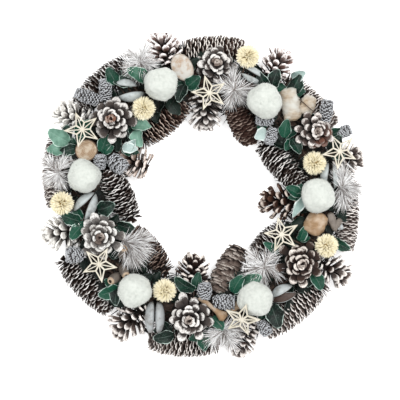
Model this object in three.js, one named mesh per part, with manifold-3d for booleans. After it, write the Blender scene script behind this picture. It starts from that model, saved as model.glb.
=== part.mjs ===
// Pinecone wreath, millimetres, +Z up, lying flat on its base ring.
// Positions are [x, y] from the middle of the hole, seen from above.
import * as THREE from 'three';
import { mergeVertices } from 'three/addons/utils/BufferGeometryUtils.js';
import Module from 'manifold-3d';

const wasm = await Module();
wasm.setup();

// Driving dimensions
const RING_RADIUS = 144;
const RING_HALF_WIDTH = 24;
const RING_HEIGHT = 40;
const RING_ROUNDNESS = 1.25;
const RING_STEPS = 32;
const RING_SIDES = 8;
const GAP = 0.3;
const LONG_CONE_LIFT = 20.5;
const OPEN_CONE_LENGTH = 40;
const ROSETTE_HEIGHT = 27;
const BALL_DIAMETER = 45;
const HEAD_DIAMETER = 32;
const STAR_TIP_RADIUS = 23.5;
const STAR_THICKNESS = 3;
const LEAF_THICKNESS = 0.8;
const LEAF_STEM_RADIUS = 138;
const TRIM_STEM_RADIUS = 150;
const STEM_THICKNESS = 3.6;
const TWIG_THICKNESS = 2.6;
const STEM_HEIGHT = 42.2;
const STALK_THICKNESS = 6;
const STALK_INSET = 0.16;
const MOST_SHIFT = 14;
const MOST_RAISE = 30;
const LOWEST_SEAT = 10;
const WIRE_BITE = 6;
const LEAF_HEIGHT = 49;
const LEAF_RISE = 8;
const LEAF_ARCH = 0.14;
const LEAF_STATIONS = [[0.3, 0.48], [0.72, 0.44]];
const TRIM_HEIGHT = 49;
const SPRAY_HEIGHT = 50;
const ROOM_SIDES = 8;
const SPRAY_CORE_DIAMETER = 7;
const TOP_START = 80;
const HEAD_HEIGHT = 60;
const STAR_HEIGHT = 66;

const UP = new THREE.Vector3(0, 0, 1);
const DOWN = new THREE.Vector3(0, 0, -1);
const TAU = Math.PI * 2;

// Where each piece lies. Long cones run from the stalk end to the tip.
const OUTER_CONES = [
  { from: [-33, 183], to: [53, 186], width: 34, small: [{ at: [-48, 187], width: 38 }] },
  { from: [107, 147], to: [169, 89], width: 34, small: [{ at: [91, 166], width: 37 }] },
  { from: [182, 27], to: [182, -70], width: 31, small: [{ at: [184, 44], width: 36 }] },
  {
    from: [152, -112], to: [74, -174], width: 36,
    small: [{ at: [168, -95], width: 38 }, { at: [58, -186], width: 32 }],
  },
  { from: [16, -187], to: [-76, -180], width: 34, small: [{ at: [-92, -158], width: 40 }] },
  { from: [-184, -74], to: [-116, -143], width: 35, small: [{ at: [-184, -46], width: 38 }] },
  { from: [-185, 76], to: [-187, -12], width: 34, small: [] },
  { from: [-90, 170], to: [-157, 111], width: 35, small: [{ at: [-164, 101], width: 38 }] },
];
const INNER_CONES = [
  { from: [-74, 67], to: [-25, 110], width: 35, small: [{ at: [-84, 42], width: 38, turn: -20 }] },
  { from: [36, 116, 40], to: [60, 70, 22], width: 34, small: [{ at: [8, 101], width: 42, turn: 180 }] },
  { from: [76, 64, 22], to: [122, 16, 40], width: 35, small: [{ at: [98, -7], width: 42, turn: 180 }] },
  { from: [104, -38], to: [66, -72], width: 34, small: [] },
  { from: [46, -67], to: [17, -120, 34], width: 37, small: [{ at: [-14, -96], width: 42, turn: 180 }] },
  { from: [-46, -92], to: [-84, -42], width: 35, small: [] },
  { from: [-91, -25, 22], to: [-119, 31, 40], width: 37, small: [] },
];

const ROSETTES = [
  { at: [-110, 94], width: 56 }, { at: [16, 166], width: 50 }, { at: [138, 80], width: 50 },
  { at: [125, -88], width: 53 }, { at: [-18, -151], width: 56 }, { at: [-128, -49], width: 54 },
];
const BALLS = [
  { at: [-52, 139] }, { at: [76, 119] }, { at: [143, 0] },
  { at: [66, -128] }, { at: [-85, -118] }, { at: [-148, 25] },
];
const HEADS = [
  { at: [-74, 109] }, { at: [56, 174] }, { at: [139, 41] },
  { at: [154, -62] }, { at: [-48, -118] }, { at: [-176, -9] },
];
const STARS = [
  { at: [-151, 84], turn: 40, tilt: [8, 5] },
  { at: [8, 128], turn: 33, tilt: [-6, 4] },
  { at: [171, 58], turn: 47, tilt: [4, 10] },
  { at: [98, -48], turn: 32, tilt: [-10, -14] },
  { at: [48, -153], turn: 0, tilt: [26, -10] },
  { at: [-129, -85], turn: -10, tilt: [5, -6] },
];

// Leaves of each leafy stem: middle, length, width and heading in degrees.
const LEAFY_STEMS = [
  [
    { at: [167, 81], length: 24, width: 17, turn: 20, grip: 0.55 },
    { at: [104, 85], length: 26, width: 17, turn: 80 },
    { at: [116, 62], length: 24, width: 16, turn: -60 }, { at: [72, 77], length: 18, width: 17, turn: 215 },
    { at: [115, 141], length: 28, width: 19, turn: 60 }, { at: [122, 155], length: 20, width: 15, turn: 20 },
    { at: [90, 147], length: 26, width: 18, turn: 70 }, { at: [75, 146], length: 22, width: 16, turn: 120 },
  ],
  [
    { at: [-11, 143], length: 22, width: 18, turn: 40, grip: 0.55 },
    { at: [-27, 128], length: 24, width: 17, turn: 250, grip: 0.55 },
    { at: [-83, 151], length: 30, width: 19, turn: 150 },
    { at: [-100, 141], length: 26, width: 17, turn: 175, grip: 0.55 },
    { at: [-114, 151], length: 24, width: 17, turn: 120 },
    { at: [-84, 86], length: 24, width: 17, turn: 330 },
    { at: [-69, 71], length: 22, width: 16, turn: 300 },
  ],
  [
    { at: [-90, 60], length: 22, width: 16, turn: 330 }, { at: [-124, 67], length: 24, width: 17, turn: 70 },
    { at: [-181, 75], length: 30, width: 22, turn: 150 },
    { at: [-170, 57], length: 26, width: 14, turn: 200 },
    { at: [-184, 58], length: 24, width: 17, turn: 185 },
  ],
  [
    { at: [-121, -13], length: 24, width: 21, turn: 20 },
    { at: [-166, -27], length: 26, width: 18, turn: 160 },
    { at: [-158, -45], length: 24, width: 17, turn: 230, grip: 0.55 },
    { at: [-96, -38], length: 24, width: 17, turn: 350 },
    { at: [-119, -120], length: 28, width: 19, turn: 200 },
    { at: [-107, -126], length: 24, width: 17, turn: 260 },
  ],
  [
    { at: [-50, -176], length: 26, width: 17, turn: 190 },
    { at: [-21, -110], length: 34, width: 23, turn: 170 },
    { at: [0, -183], length: 24, width: 17, turn: 280, grip: 0.55 },
    { at: [19, -160], length: 22, width: 16, turn: 310, grip: 0.5 },
    { at: [44, -110], length: 26, width: 18, turn: 60 }, { at: [62, -104], length: 26, width: 19, turn: 20 },
    { at: [90, -151], length: 32, width: 23, turn: 290 },
  ],
  [
    { at: [142, -107], length: 26, width: 19, turn: 300, grip: 0.55 },
    { at: [86, -64], length: 26, width: 12, turn: 150 },
    { at: [126, -47], length: 26, width: 18, turn: 70 },
    { at: [177, -61], length: 28, width: 19, turn: 330 },
    { at: [122, -17], length: 22, width: 14, turn: 230 }, { at: [114, 4], length: 26, width: 18, turn: 160 },
  ],
];

// Trims of each cluster: pods, seed cones, wood and gumnuts, with the way each one points.
const TRIM_CLUSTERS = [
  [
    { kind: 'seed', at: [157, 104], length: 27, width: 17, turn: 80 },
    { kind: 'seed', at: [178, 81], length: 16, width: 15, turn: 20 },
    { kind: 'pod', at: [154, 26], length: 29, width: 11, turn: 80 },
    { kind: 'pod', at: [164, 24], length: 29, width: 11, turn: 94 },
  ],
  [
    { kind: 'chunk', at: [110, 115], length: 42, width: 25, turn: 100 },
    { kind: 'chunk', at: [131, 114], length: 25, width: 17, turn: 70 },
    { kind: 'seed', at: [79, 95], length: 20, width: 15, turn: 180 },
    { kind: 'seed', at: [86, 77], length: 20, width: 15, turn: 250 },
    { kind: 'pod', at: [58, 150], length: 30, width: 11, turn: 125 },
    { kind: 'pod', at: [70, 152], length: 30, width: 11, turn: 70 },
  ],
  [
    { kind: 'slice', at: [-29, 163], length: 32, width: 21, turn: 80 },
    { kind: 'pod', at: [-96, 139], length: 27, width: 11, turn: 175 },
    { kind: 'pod', at: [-89, 127], length: 32, width: 14, turn: 190 },
    { kind: 'seed', at: [-122, 131], length: 25, width: 16, turn: 95 },
    { kind: 'seed', at: [-144, 125], length: 30, width: 17, turn: 160 },
  ],
  [
    { kind: 'slice', at: [-146, 57], length: 28, width: 27, turn: 30 },
    { kind: 'seed', at: [-109, 42], length: 22, width: 21, turn: 320 },
    { kind: 'seed', at: [-129, 41], length: 17, width: 16, turn: 90 },
    { kind: 'pod', at: [-148, -7], length: 32, width: 12, turn: 223 },
    { kind: 'pod', at: [-141, -13], length: 34, width: 12, turn: 248 },
  ],
  [
    { kind: 'seed', at: [-159, -74], length: 20, width: 20, turn: 180 },
    { kind: 'gumnut', at: [-100, -69], length: 18, width: 17, turn: 0 },
    { kind: 'gumnut', at: [-98, -97], length: 18, width: 17, turn: 30 },
    { kind: 'gumnut', at: [-114, -105], length: 16, width: 14, turn: 200 },
  ],
  [
    { kind: 'pod', at: [-65, -151], length: 37, width: 12, turn: 262 },
    { kind: 'pod', at: [-54, -152], length: 37, width: 12, turn: 277 },
    { kind: 'seed', at: [2, -121], length: 19, width: 18, turn: 90 },
    { kind: 'seed', at: [24, -133], length: 25, width: 20, turn: 0 },
    { kind: 'stick', at: [12, -140], length: 42, width: 10, turn: 321 },
    { kind: 'chunk', at: [41, -138], length: 14, width: 11, turn: 20 },
  ],
  [
    { kind: 'seed', at: [76, -164], length: 18, width: 15, turn: 300 },
    { kind: 'pod', at: [98, -120], length: 29, width: 13, turn: 29 },
    { kind: 'pod', at: [104, -128], length: 29, width: 13, turn: 18 },
    { kind: 'chunk', at: [141, -34], length: 30, width: 26, turn: 60 },
  ],
];

// Needle sprays: root, how far the needles reach, and the fan that they fill, in degrees.
const NEEDLE_SPRAYS = [
  { at: [-79, 167], reach: 21, facing: 130, fan: 360 },
  { at: [39, 133], reach: 27, facing: 90, fan: 360 },
  { at: [180, 12], reach: 30, facing: 0, fan: 250 },
  { at: [76, -88], reach: 27, facing: 270, fan: 360 },
  { at: [25, -170], reach: 30, facing: 285, fan: 220 },
  { at: [-86, -65], reach: 28, facing: 0, fan: 200 },
  { at: [-185, 30], reach: 24, facing: 180, fan: 300 },
];

const MATERIALS = {
  vine: material(0x6b4a2f, 0.9),
  cone: material(0x54402f, 0.85),
  innerCone: material(0x6a5238, 0.85),
  rosette: material(0x9a8e80, 0.85),
  cotton: material(0xf2f0ea, 0.95),
  head: material(0xe8d69b, 0.9),
  starWood: material(0xe9dcbb, 0.7),
  leaf: material(0x1f5a45, 0.6),
  needle: material(0xe4e4e2, 0.8),
  trim: material(0x9a9690, 0.7),
};

function material(color, roughness) {
  return new THREE.MeshStandardMaterial({ color, roughness, metalness: 0 });
}

function seededRandom(seed) {
  let state = seed >>> 0;
  return () => {
    state = (state + 0x6d2b79f5) >>> 0;
    let mixed = Math.imul(state ^ (state >>> 15), 1 | state);
    mixed ^= mixed + Math.imul(mixed ^ (mixed >>> 7), 61 | mixed);
    return ((mixed ^ (mixed >>> 14)) >>> 0) / 4294967296;
  };
}

function radians(degrees) {
  return (degrees * Math.PI) / 180;
}

function heading(degrees) {
  return new THREE.Vector3(Math.cos(radians(degrees)), Math.sin(radians(degrees)), 0);
}

function spot([x, y, ownHeight], z = 0) {
  return new THREE.Vector3(x, y, ownHeight ?? z);
}

// Closed surface through rings of equal point counts, from a start point to an end point.
function loft(rings, start, end) {
  const sides = rings[0].length;
  const points = [start, ...rings.flat(), end];
  const last = points.length - 1;
  const faces = [];
  for (let j = 0; j < sides; j += 1) {
    const k = (j + 1) % sides;
    faces.push(0, 1 + k, 1 + j);
    faces.push(last, last - sides + j, last - sides + k);
    for (let i = 0; i + 1 < rings.length; i += 1) {
      const low = 1 + i * sides;
      const high = low + sides;
      faces.push(low + j, low + k, high + k, low + j, high + k, high + j);
    }
  }
  const geometry = new THREE.BufferGeometry().setFromPoints(points);
  geometry.setIndex(faces);
  return geometry;
}

function ringOfPoints(columns, radiusAt, z, phase = 0) {
  const ring = [];
  for (let j = 0; j < columns; j += 1) {
    const angle = (TAU * j) / columns + phase;
    ring.push(new THREE.Vector3(radiusAt(j) * Math.cos(angle), radiusAt(j) * Math.sin(angle), z));
  }
  return ring;
}

// Turns a shape made along +Z so that it starts at one point and runs in a direction.
function aimed(geometry, origin, direction, roll = 0) {
  const turn = new THREE.Quaternion().setFromUnitVectors(UP, direction.clone().normalize());
  const twist = new THREE.Quaternion().setFromAxisAngle(UP, roll);
  const matrix = new THREE.Matrix4().compose(origin, turn.multiply(twist), new THREE.Vector3(1, 1, 1));
  return geometry.clone().applyMatrix4(matrix);
}

function toSolid(geometry) {
  const bare = new THREE.BufferGeometry();
  bare.setAttribute('position', geometry.getAttribute('position').clone());
  if (geometry.index) bare.setIndex(geometry.index.clone());
  const merged = mergeVertices(bare, 1e-4);
  return new wasm.Manifold(new wasm.Mesh({
    numProp: 3,
    vertProperties: new Float32Array(merged.getAttribute('position').array),
    triVerts: new Uint32Array(merged.index.array),
  }));
}

function toGeometry(solid) {
  const mesh = solid.getMesh();
  const geometry = new THREE.BufferGeometry();
  geometry.setAttribute('position', new THREE.BufferAttribute(new Float32Array(mesh.vertProperties), 3));
  geometry.setIndex(new THREE.BufferAttribute(new Uint32Array(mesh.triVerts), 1));
  geometry.computeVertexNormals();
  return geometry;
}

// The largest connected body of a solid: cutting can leave loose scraps.
function largestBody(solid) {
  const bodies = solid.decompose();
  return bodies.reduce((best, body) => (body.volume() > best.volume() ? body : best));
}

function boxesMeet(a, b) {
  const first = a.boundingBox();
  const second = b.boundingBox();
  return [0, 1, 2].every((i) => first.min[i] < second.max[i] && second.min[i] < first.max[i]);
}

function cutBy(solid, cutters) {
  const near = cutters.filter((cutter) => boxesMeet(solid, cutter));
  return near.reduce((left, cutter) => left.subtract(cutter), solid);
}

function joined(solids) {
  return solids.reduce((sum, solid) => sum.add(solid));
}

// Ring base: twisted strands raised by a formula, flat underneath.
function ringBaseGeometry(grow = 0) {
  const sections = [];
  for (let i = 0; i < RING_STEPS; i += 1) {
    const angle = (TAU * i) / RING_STEPS;
    const section = [];
    for (let j = 0; j < RING_SIDES; j += 1) {
      const around = (TAU * (j + 0.5)) / RING_SIDES;
      const strand = 0.97 + 0.03 * Math.cos(4 * around + 11 * angle);
      const across = ((RING_HALF_WIDTH + grow) * strand * Math.cos(around)) / Math.cos(Math.PI / RING_SIDES);
      const above = (RING_HEIGHT / 2 + grow) * RING_ROUNDNESS * strand * Math.sin(around);
      const most = RING_HEIGHT / 2 + grow;
      const z = RING_HEIGHT / 2 + THREE.MathUtils.clamp(above, -most, most);
      const radius = RING_RADIUS + across;
      section.push(new THREE.Vector3(radius * Math.cos(angle), radius * Math.sin(angle), z));
    }
    sections.push(section);
  }
  const points = sections.flat();
  const faces = [];
  for (let i = 0; i < RING_STEPS; i += 1) {
    for (let j = 0; j < RING_SIDES; j += 1) {
      const k = (j + 1) % RING_SIDES;
      const here = i * RING_SIDES;
      const next = ((i + 1) % RING_STEPS) * RING_SIDES;
      faces.push(here + j, next + j, next + k, here + j, next + k, here + k);
    }
  }
  const geometry = new THREE.BufferGeometry().setFromPoints(points);
  geometry.setIndex(faces);
  return geometry;
}

// Cone along +Z: whorls of scales raised in steps, their free edges towards the tip.
function coneShape({ length, width, whorls, scales, profile, notch, recess, step }) {
  const columns = scales * 2;
  const pitch = length / (whorls + 0.6);
  const rings = [];
  for (let whorl = 0; whorl < whorls; whorl += 1) {
    const z = pitch * (whorl + 0.7);
    const reach = (width / 2) * profile(z / length);
    const phase = whorl * 0.14;
    rings.push(ringOfPoints(columns, (j) => reach * ((j + whorl) % 2 ? notch : 1), z, phase));
    rings.push(ringOfPoints(columns, () => reach * recess, z + pitch * step, phase));
  }
  return loft(rings, new THREE.Vector3(0, 0, 0), new THREE.Vector3(0, 0, length));
}

// Plain spindle one gap larger than a cone: the room that others keep out of.
function coneRoom({ length, width, whorls, profile }, grow) {
  const lowest = 0.7 / (whorls + 0.6);
  const rings = [lowest, 0.5 * lowest + 0.3, 0.62, 0.92].map((t) => {
    const reach = (width / 2) * Math.max(profile(t - 0.1), profile(t), profile(Math.min(t + 0.1, 1)));
    const radius = (reach + grow) / Math.cos(Math.PI / ROOM_SIDES);
    return ringOfPoints(ROOM_SIDES, () => radius, t * length - (t === lowest ? grow : 0));
  });
  return loft(rings, new THREE.Vector3(0, 0, -grow), new THREE.Vector3(0, 0, length + grow));
}

function coneOrRoom(kind, grow) {
  return grow > 0 ? coneRoom(kind, grow) : coneShape(kind);
}

function longConeShape(length, width, grow = 0) {
  const profile = (t) => Math.sin(Math.PI * (0.14 + 0.76 * Math.max(t, 0))) ** 0.6;
  const scales = { whorls: 5, scales: 4, notch: 0.86, recess: 0.78, step: 0.16 };
  return coneOrRoom({ length, width, profile, ...scales }, grow);
}

function openConeShape(width, grow = 0) {
  const length = OPEN_CONE_LENGTH * (width / 38);
  const profile = (t) => Math.sin(Math.PI * (0.22 + 0.66 * Math.max(t, 0))) ** 0.8;
  const scales = { whorls: 4, scales: 4, notch: 0.74, recess: 0.52, step: -0.12 };
  return coneOrRoom({ length, width, profile, ...scales }, grow);
}

function rosetteShape(width, grow = 0) {
  const length = ROSETTE_HEIGHT;
  const profile = (t) => 1 - 0.8 * Math.max(0, t - 0.1) ** 1.3;
  const scales = { whorls: 4, scales: 8, notch: 0.8, recess: 0.6, step: -0.2 };
  return coneOrRoom({ length, width, profile, ...scales }, grow);
}

function seedConeShape(length, width, grow = 0) {
  const profile = (t) => Math.sin(Math.PI * (0.2 + 0.68 * Math.max(t, 0))) ** 0.7;
  const scales = { whorls: 2, scales: 3, notch: 0.85, recess: 0.75, step: 0.12 };
  return coneOrRoom({ length, width, profile, ...scales }, grow);
}

// Cotton ball: tufts raised from a sphere by a formula.
function cottonBallShape(seed, grow = 0) {
  if (grow) return new THREE.IcosahedronGeometry(BALL_DIAMETER * 0.52 + grow, 1);
  const ball = new THREE.IcosahedronGeometry(BALL_DIAMETER / 2, 2);
  const position = ball.getAttribute('position');
  const point = new THREE.Vector3();
  for (let i = 0; i < position.count; i += 1) {
    point.fromBufferAttribute(position, i);
    const wave = Math.sin(point.x * 0.31 + seed) * Math.sin(point.y * 0.37 + 2 * seed);
    const tuft = wave * Math.sin(point.z * 0.33);
    point.setLength((BALL_DIAMETER / 2) * (0.97 + 0.03 * tuft));
    position.setXYZ(i, point.x, point.y, point.z);
  }
  return ball;
}

// Round core whose chosen faces are each drawn out to a point, so that nothing crosses.
function spikedCore(core, tipOf) {
  const position = core.getAttribute('position');
  const points = [];
  for (let i = 0; i < position.count; i += 3) {
    const [a, b, c] = [0, 1, 2].map((k) => new THREE.Vector3().fromBufferAttribute(position, i + k));
    const centre = new THREE.Vector3().add(a).add(b).add(c).divideScalar(3);
    const tip = tipOf(centre, i / 3);
    points.push(...(tip ? [a, b, tip, b, c, tip, c, a, tip] : [a, b, c]));
  }
  return new THREE.BufferGeometry().setFromPoints(points);
}

// Spiky head: the upper faces of a round core carry one pointed bract each.
function spikyHeadShape(grow = 0) {
  if (grow) return new THREE.IcosahedronGeometry(HEAD_DIAMETER * 0.52 + grow, 1);
  const core = new THREE.IcosahedronGeometry(HEAD_DIAMETER * 0.36, 1);
  const lowest = -0.2 * HEAD_DIAMETER;
  return spikedCore(core, (centre) => centre.z > lowest && centre.clone().setLength(HEAD_DIAMETER / 2));
}

// Needle spray: a small core whose faces inside the fan are drawn out to long needles.
function sprayShape({ reach, facing, fan }, seed) {
  const random = seededRandom(seed * 977 + 5);
  const core = new THREE.IcosahedronGeometry(SPRAY_CORE_DIAMETER / 2, 1).rotateZ(seed).scale(1, 1, 1.3);
  return spikedCore(core, (centre) => {
    const spare = 0.75 + 0.25 * random();
    const away = Math.abs(THREE.MathUtils.euclideanModulo(turnOf(centre) - facing + 180, 360) - 180);
    if (away > fan / 2 || centre.z < -0.3 * SPRAY_CORE_DIAMETER) return null;
    const direction = centre.clone();
    direction.z = Math.max(direction.z, 0) * 0.55;
    return centre.clone().add(direction.setLength(reach * spare));
  });
}

function turnOf(point) {
  return (Math.atan2(point.y, point.x) * 180) / Math.PI;
}

function polar(radius, angle) {
  return new THREE.Vector2(radius * Math.cos(angle), radius * Math.sin(angle));
}

// Star: five points with a frame, a spoke to each notch and a thin rib to each tip.
function starShape() {
  const notchRadius = STAR_TIP_RADIUS * 0.43;
  const corners = [];
  for (let i = 0; i < 10; i += 1) {
    corners.push(polar(i % 2 ? notchRadius : STAR_TIP_RADIUS, (TAU * i) / 10));
  }
  const outline = new THREE.Shape(corners);
  for (let i = 0; i < 10; i += 1) {
    const tip = corners[i % 2 ? (i + 1) % 10 : i];
    const notch = corners[i % 2 ? i : (i + 1) % 10];
    outline.holes.push(new THREE.Path(windowCorners(tip, notch)));
  }
  const options = { depth: STAR_THICKNESS, bevelEnabled: false };
  return new THREE.ExtrudeGeometry(outline, options).translate(0, 0, -STAR_THICKNESS / 2);
}

// One triangular window between the middle, a tip and a notch, pulled in towards its own middle.
function windowCorners(tip, notch) {
  const middle = tip.clone().add(notch).multiplyScalar(1 / 3);
  return [new THREE.Vector2(0, 0), tip, notch].map((corner) => corner.clone().lerp(middle, 0.42));
}

// Plain five-pointed prism that holds the star's room clear.
function starRoom(grow) {
  const corners = [];
  for (let i = 0; i < 10; i += 1) {
    corners.push(polar((i % 2 ? STAR_TIP_RADIUS * 0.43 : STAR_TIP_RADIUS) + 2 * grow, (TAU * i) / 10));
  }
  const options = { depth: STAR_THICKNESS + 2 * grow, bevelEnabled: false };
  return new THREE.ExtrudeGeometry(new THREE.Shape(corners), options).translate(0, 0, -options.depth / 2);
}

// Leaf: a thin blade, arched along its length. Its room runs on along the slope at both ends.
function leafShape({ at, length, width, turn }, grow = 0) {
  const lie = new THREE.Euler(0, -radians(LEAF_RISE), radians(turn), 'ZYX');
  const root = leafRoot({ at, length, turn });
  const place = (point) => point.applyEuler(lie).add(root);
  const half = LEAF_THICKNESS / 2 + grow;
  const liftAt = (t) => LEAF_ARCH * length * Math.sin(Math.PI * t);
  const sections = LEAF_STATIONS.map(([t, share]) => (
    [[-1, -1], [1, -1], [1, 1], [-1, 1]].map(([across, side]) => (
      place(new THREE.Vector3(t * length, across * (share * width + grow), liftAt(t) + side * half))
    ))
  ));
  const beyond = 5 * grow;
  const [near, far] = [LEAF_STATIONS[0][0], LEAF_STATIONS[1][0]];
  const heelDrop = (beyond * liftAt(near)) / (near * length);
  const tipDrop = (beyond * liftAt(far)) / ((1 - far) * length);
  const heel = place(new THREE.Vector3(-beyond, 0, -heelDrop));
  const tip = place(new THREE.Vector3(length + beyond, 0, -tipDrop));
  return loft(sections, heel, tip);
}

// Where the stalk meets its blade: at the root, or further along it where the root is covered.
function leafGrip(leaf) {
  const { length, turn, grip = 0.04 } = leaf;
  const lift = 0.11 * length * Math.sin(Math.PI * grip) + Math.sin(radians(LEAF_RISE)) * grip * length;
  return leafRoot(leaf).addScaledVector(heading(turn), grip * length).addScaledVector(UP, lift);
}

function leafStalk(leaf, grow = 0) {
  const end = leafGrip(leaf);
  return rod(stemPoint(end, LEAF_STEM_RADIUS), end, TWIG_THICKNESS, 3, grow);
}

function leafRoot({ at, length, turn }) {
  return spot(at, LEAF_HEIGHT).sub(heading(turn).multiplyScalar(length / 2));
}

// Point of a hidden stem that is nearest to where a member grows.
function stemPoint(root, radius) {
  return root.clone().setZ(0).setLength(radius).setZ(STEM_HEIGHT);
}

// Rod between two points, with few sides.
function rod(from, to, thickness, sides = 4, grow = 0) {
  const direction = to.clone().sub(from);
  const ends = [-grow, direction.length() + grow];
  const radius = thickness / 2 + grow / Math.cos(Math.PI / sides);
  const [start, end] = ends.map((z) => new THREE.Vector3(0, 0, z));
  return aimed(loft(ends.map((z) => ringOfPoints(sides, () => radius, z)), start, end), from, direction);
}

// Almond-shaped pod half along +Z, flatter on one side.
function podShape(length, width, grow = 0) {
  const rings = [0.26, 0.66].map((t) => {
    const reach = (width / 2) * (1.04 - 0.2 * t) + grow;
    return ringOfPoints(6, (j) => reach * (j === 0 ? 0.7 : 1), t * length);
  });
  return loft(rings, new THREE.Vector3(0, 0, -grow), new THREE.Vector3(0, 0, length + grow));
}

function gumnutShape(length, width, grow = 0) {
  const r = width / 2 + grow;
  const outside = [[0, 0], [0.6 * r, 0], [r, 0.45 * length], [0.85 * r, length]];
  const inside = [[0.5 * r, length], [0.4 * r, 0.5 * length], [0, 0.45 * length]];
  const closed = [[0, length]];
  const profile = [...outside, ...(grow ? closed : inside)].map(([x, y]) => new THREE.Vector2(x, y));
  return new THREE.LatheGeometry(profile, 6).rotateX(Math.PI / 2);
}

function sliceShape(length, width, grow = 0) {
  const disc = new THREE.CylinderGeometry(width / 2 + grow, width / 2 + grow, 8 + 2 * grow, 12);
  return disc.rotateX(Math.PI / 2).scale(length / width, 1, 1);
}

// Weathered chunk along +Z, with uneven corners.
function chunkShape(length, width, grow = 0) {
  const random = seededRandom(Math.round(length * 100 + width));
  const rings = [0.06, 0.7].map((t) => {
    const reach = (width / 2) * (1 - 0.35 * t ** 3);
    const corners = Array.from({ length: 6 }, () => reach * (0.72 + 0.28 * random()));
    return ringOfPoints(6, (j) => corners[j] + grow, t * length);
  });
  return loft(rings, new THREE.Vector3(0, 0, -grow), new THREE.Vector3(0, 0, length * 0.95 + grow));
}

// Thin stick along +Z with a knob at its far end.
function stickShape(length, width, grow = 0) {
  const stations = [[0.02, 0.34], [0.3, 0.24], [0.7, 0.26], [0.82, 0.5], [0.95, 0.45]];
  const rings = stations.map(([t, r]) => ringOfPoints(6, () => r * width + grow, t * length));
  return loft(rings, new THREE.Vector3(0, 0, -grow), new THREE.Vector3(0, 0, length + grow));
}

const wreath = new THREE.Group();

// Solids placed so far, and the same pieces one gap larger: the rooms that others keep out of.
const solids = [];
const rooms = [];

function addNode(name, solid, look) {
  const mesh = new THREE.Mesh(toGeometry(solid), look);
  mesh.name = name;
  wreath.add(mesh);
}

function moved(shape, offset) {
  return shape.clone().translate(offset.x, offset.y, offset.z);
}

function overlaps(shape, others) {
  const solid = toSolid(shape);
  return others.some((other) => boxesMeet(solid, other) && solid.intersect(other).volume() > 1e-3);
}

// Slides a piece along a direction until it lies one gap short of what is placed already.
function seatOffset(shapes, direction, back, forward) {
  const hits = (distance) => {
    const offset = direction.clone().multiplyScalar(distance);
    return shapes.some((shape) => overlaps(moved(shape, offset), solids));
  };
  let clear = -back;
  while (clear < forward && !hits(clear + 1)) clear += 1;
  if (clear >= forward) return direction.clone().multiplyScalar(forward);
  let blocked = clear + 1;
  for (let i = 0; i < 5; i += 1) {
    const middle = (clear + blocked) / 2;
    if (hits(middle)) blocked = middle;
    else clear = middle;
  }
  return direction.clone().multiplyScalar(clear - GAP);
}

function placeRing() {
  const ring = toSolid(ringBaseGeometry());
  solids.push(ring);
  rooms.push(toSolid(ringBaseGeometry(GAP)));
  addNode('ring_base', ring, MATERIALS.vine);
}

function longConeOnAxis({ from, to, width }, grow = 0) {
  const start = spot(from, LONG_CONE_LIFT);
  const axis = spot(to, LONG_CONE_LIFT).sub(start);
  return aimed(longConeShape(axis.length(), width, grow), start, axis);
}

// Small open cone: on the rim it points away from the middle, round the hole as stated.
function openConeOnAxis({ at, width, turn = 0 }, grow = 0) {
  const outward = spot(at).normalize().applyAxisAngle(UP, radians(turn));
  const length = OPEN_CONE_LENGTH * (width / 38);
  const start = spot(at, width / 2 + 2.5).sub(outward.clone().multiplyScalar(length / 2));
  return aimed(openConeShape(width, grow), start, outward, 0.3);
}

// Stalk between a small cone and the nearer end of its long cone.
function stalkBetween(cone, small, grow = 0) {
  const near = [cone.from, cone.to].map((end) => spot(end, LONG_CONE_LIFT));
  const centre = spot(small.at, LONG_CONE_LIFT);
  if (centre.distanceTo(near[1]) < centre.distanceTo(near[0])) near.reverse();
  return rod(near[0].lerp(near[1], STALK_INSET), centre, STALK_THICKNESS, 5, grow);
}

// Wired peg from the middle of a long cone to the ring.
function pegToRing({ from, to }, grow = 0) {
  const middle = spot(from).add(spot(to)).multiplyScalar(0.5).setZ(LONG_CONE_LIFT);
  const inside = middle.clone().setZ(0).setLength(RING_RADIUS).setZ(LONG_CONE_LIFT);
  return rod(middle, inside, STALK_THICKNESS, 4, grow);
}

function placeCones(name, list, look, seatSign) {
  list.forEach((cone, i) => {
    const make = (grow) => [
      longConeOnAxis(cone, grow),
      ...cone.small.map((one) => openConeOnAxis(one, grow)),
      ...cone.small.map((one) => stalkBetween(cone, one, grow)),
    ];
    const middle = spot(cone.from).setZ(0).add(spot(cone.to).setZ(0)).normalize().multiplyScalar(seatSign);
    const offset = seatOffset(make(0), middle, MOST_SHIFT, 0);
    const peg = (grow) => toSolid(moved(pegToRing(cone, grow), offset));
    const cones = joined(make(0).map((shape) => toSolid(moved(shape, offset))));
    const body = largestBody(cones.add(cutBy(peg(0), rooms)));
    solids.push(body);
    rooms.push(...make(GAP).map((shape) => toSolid(moved(shape, offset))), peg(GAP));
    addNode(`${name}_${i + 1}`, body, look);
  });
}

// Wire that stands on the ring and leads to a point above it.
function wireTo(point, grow = 0) {
  const foot = point.clone().setZ(0).setLength(RING_RADIUS).setZ(RING_HEIGHT - WIRE_BITE);
  return rod(foot, point, TWIG_THICKNESS, 3, grow);
}

// Pieces that lie on top: each is lowered until it rests on what is below, or on its wire.
function lowerPieces(name, list, look, makeShape, wireHeight) {
  list.forEach((piece, i) => {
    const lowest = TOP_START - (wireHeight ?? LOWEST_SEAT);
    const offset = seatOffset([makeShape(piece, i)], DOWN, MOST_RAISE, lowest);
    let solid = toSolid(moved(makeShape(piece, i), offset));
    rooms.push(toSolid(moved(makeShape(piece, i, GAP), offset)));
    if (wireHeight) {
      const top = spot(piece.at, TOP_START + offset.z);
      const cutters = [...rooms.slice(0, -1), ...PICKS.map(({ stemRoom }) => stemRoom)];
      solid = largestBody(solid.add(cutBy(toSolid(wireTo(top)), cutters)));
      rooms.push(toSolid(wireTo(top, GAP)));
    }
    solids.push(solid);
    addNode(`${name}_${i + 1}`, solid, look);
  });
}

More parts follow.
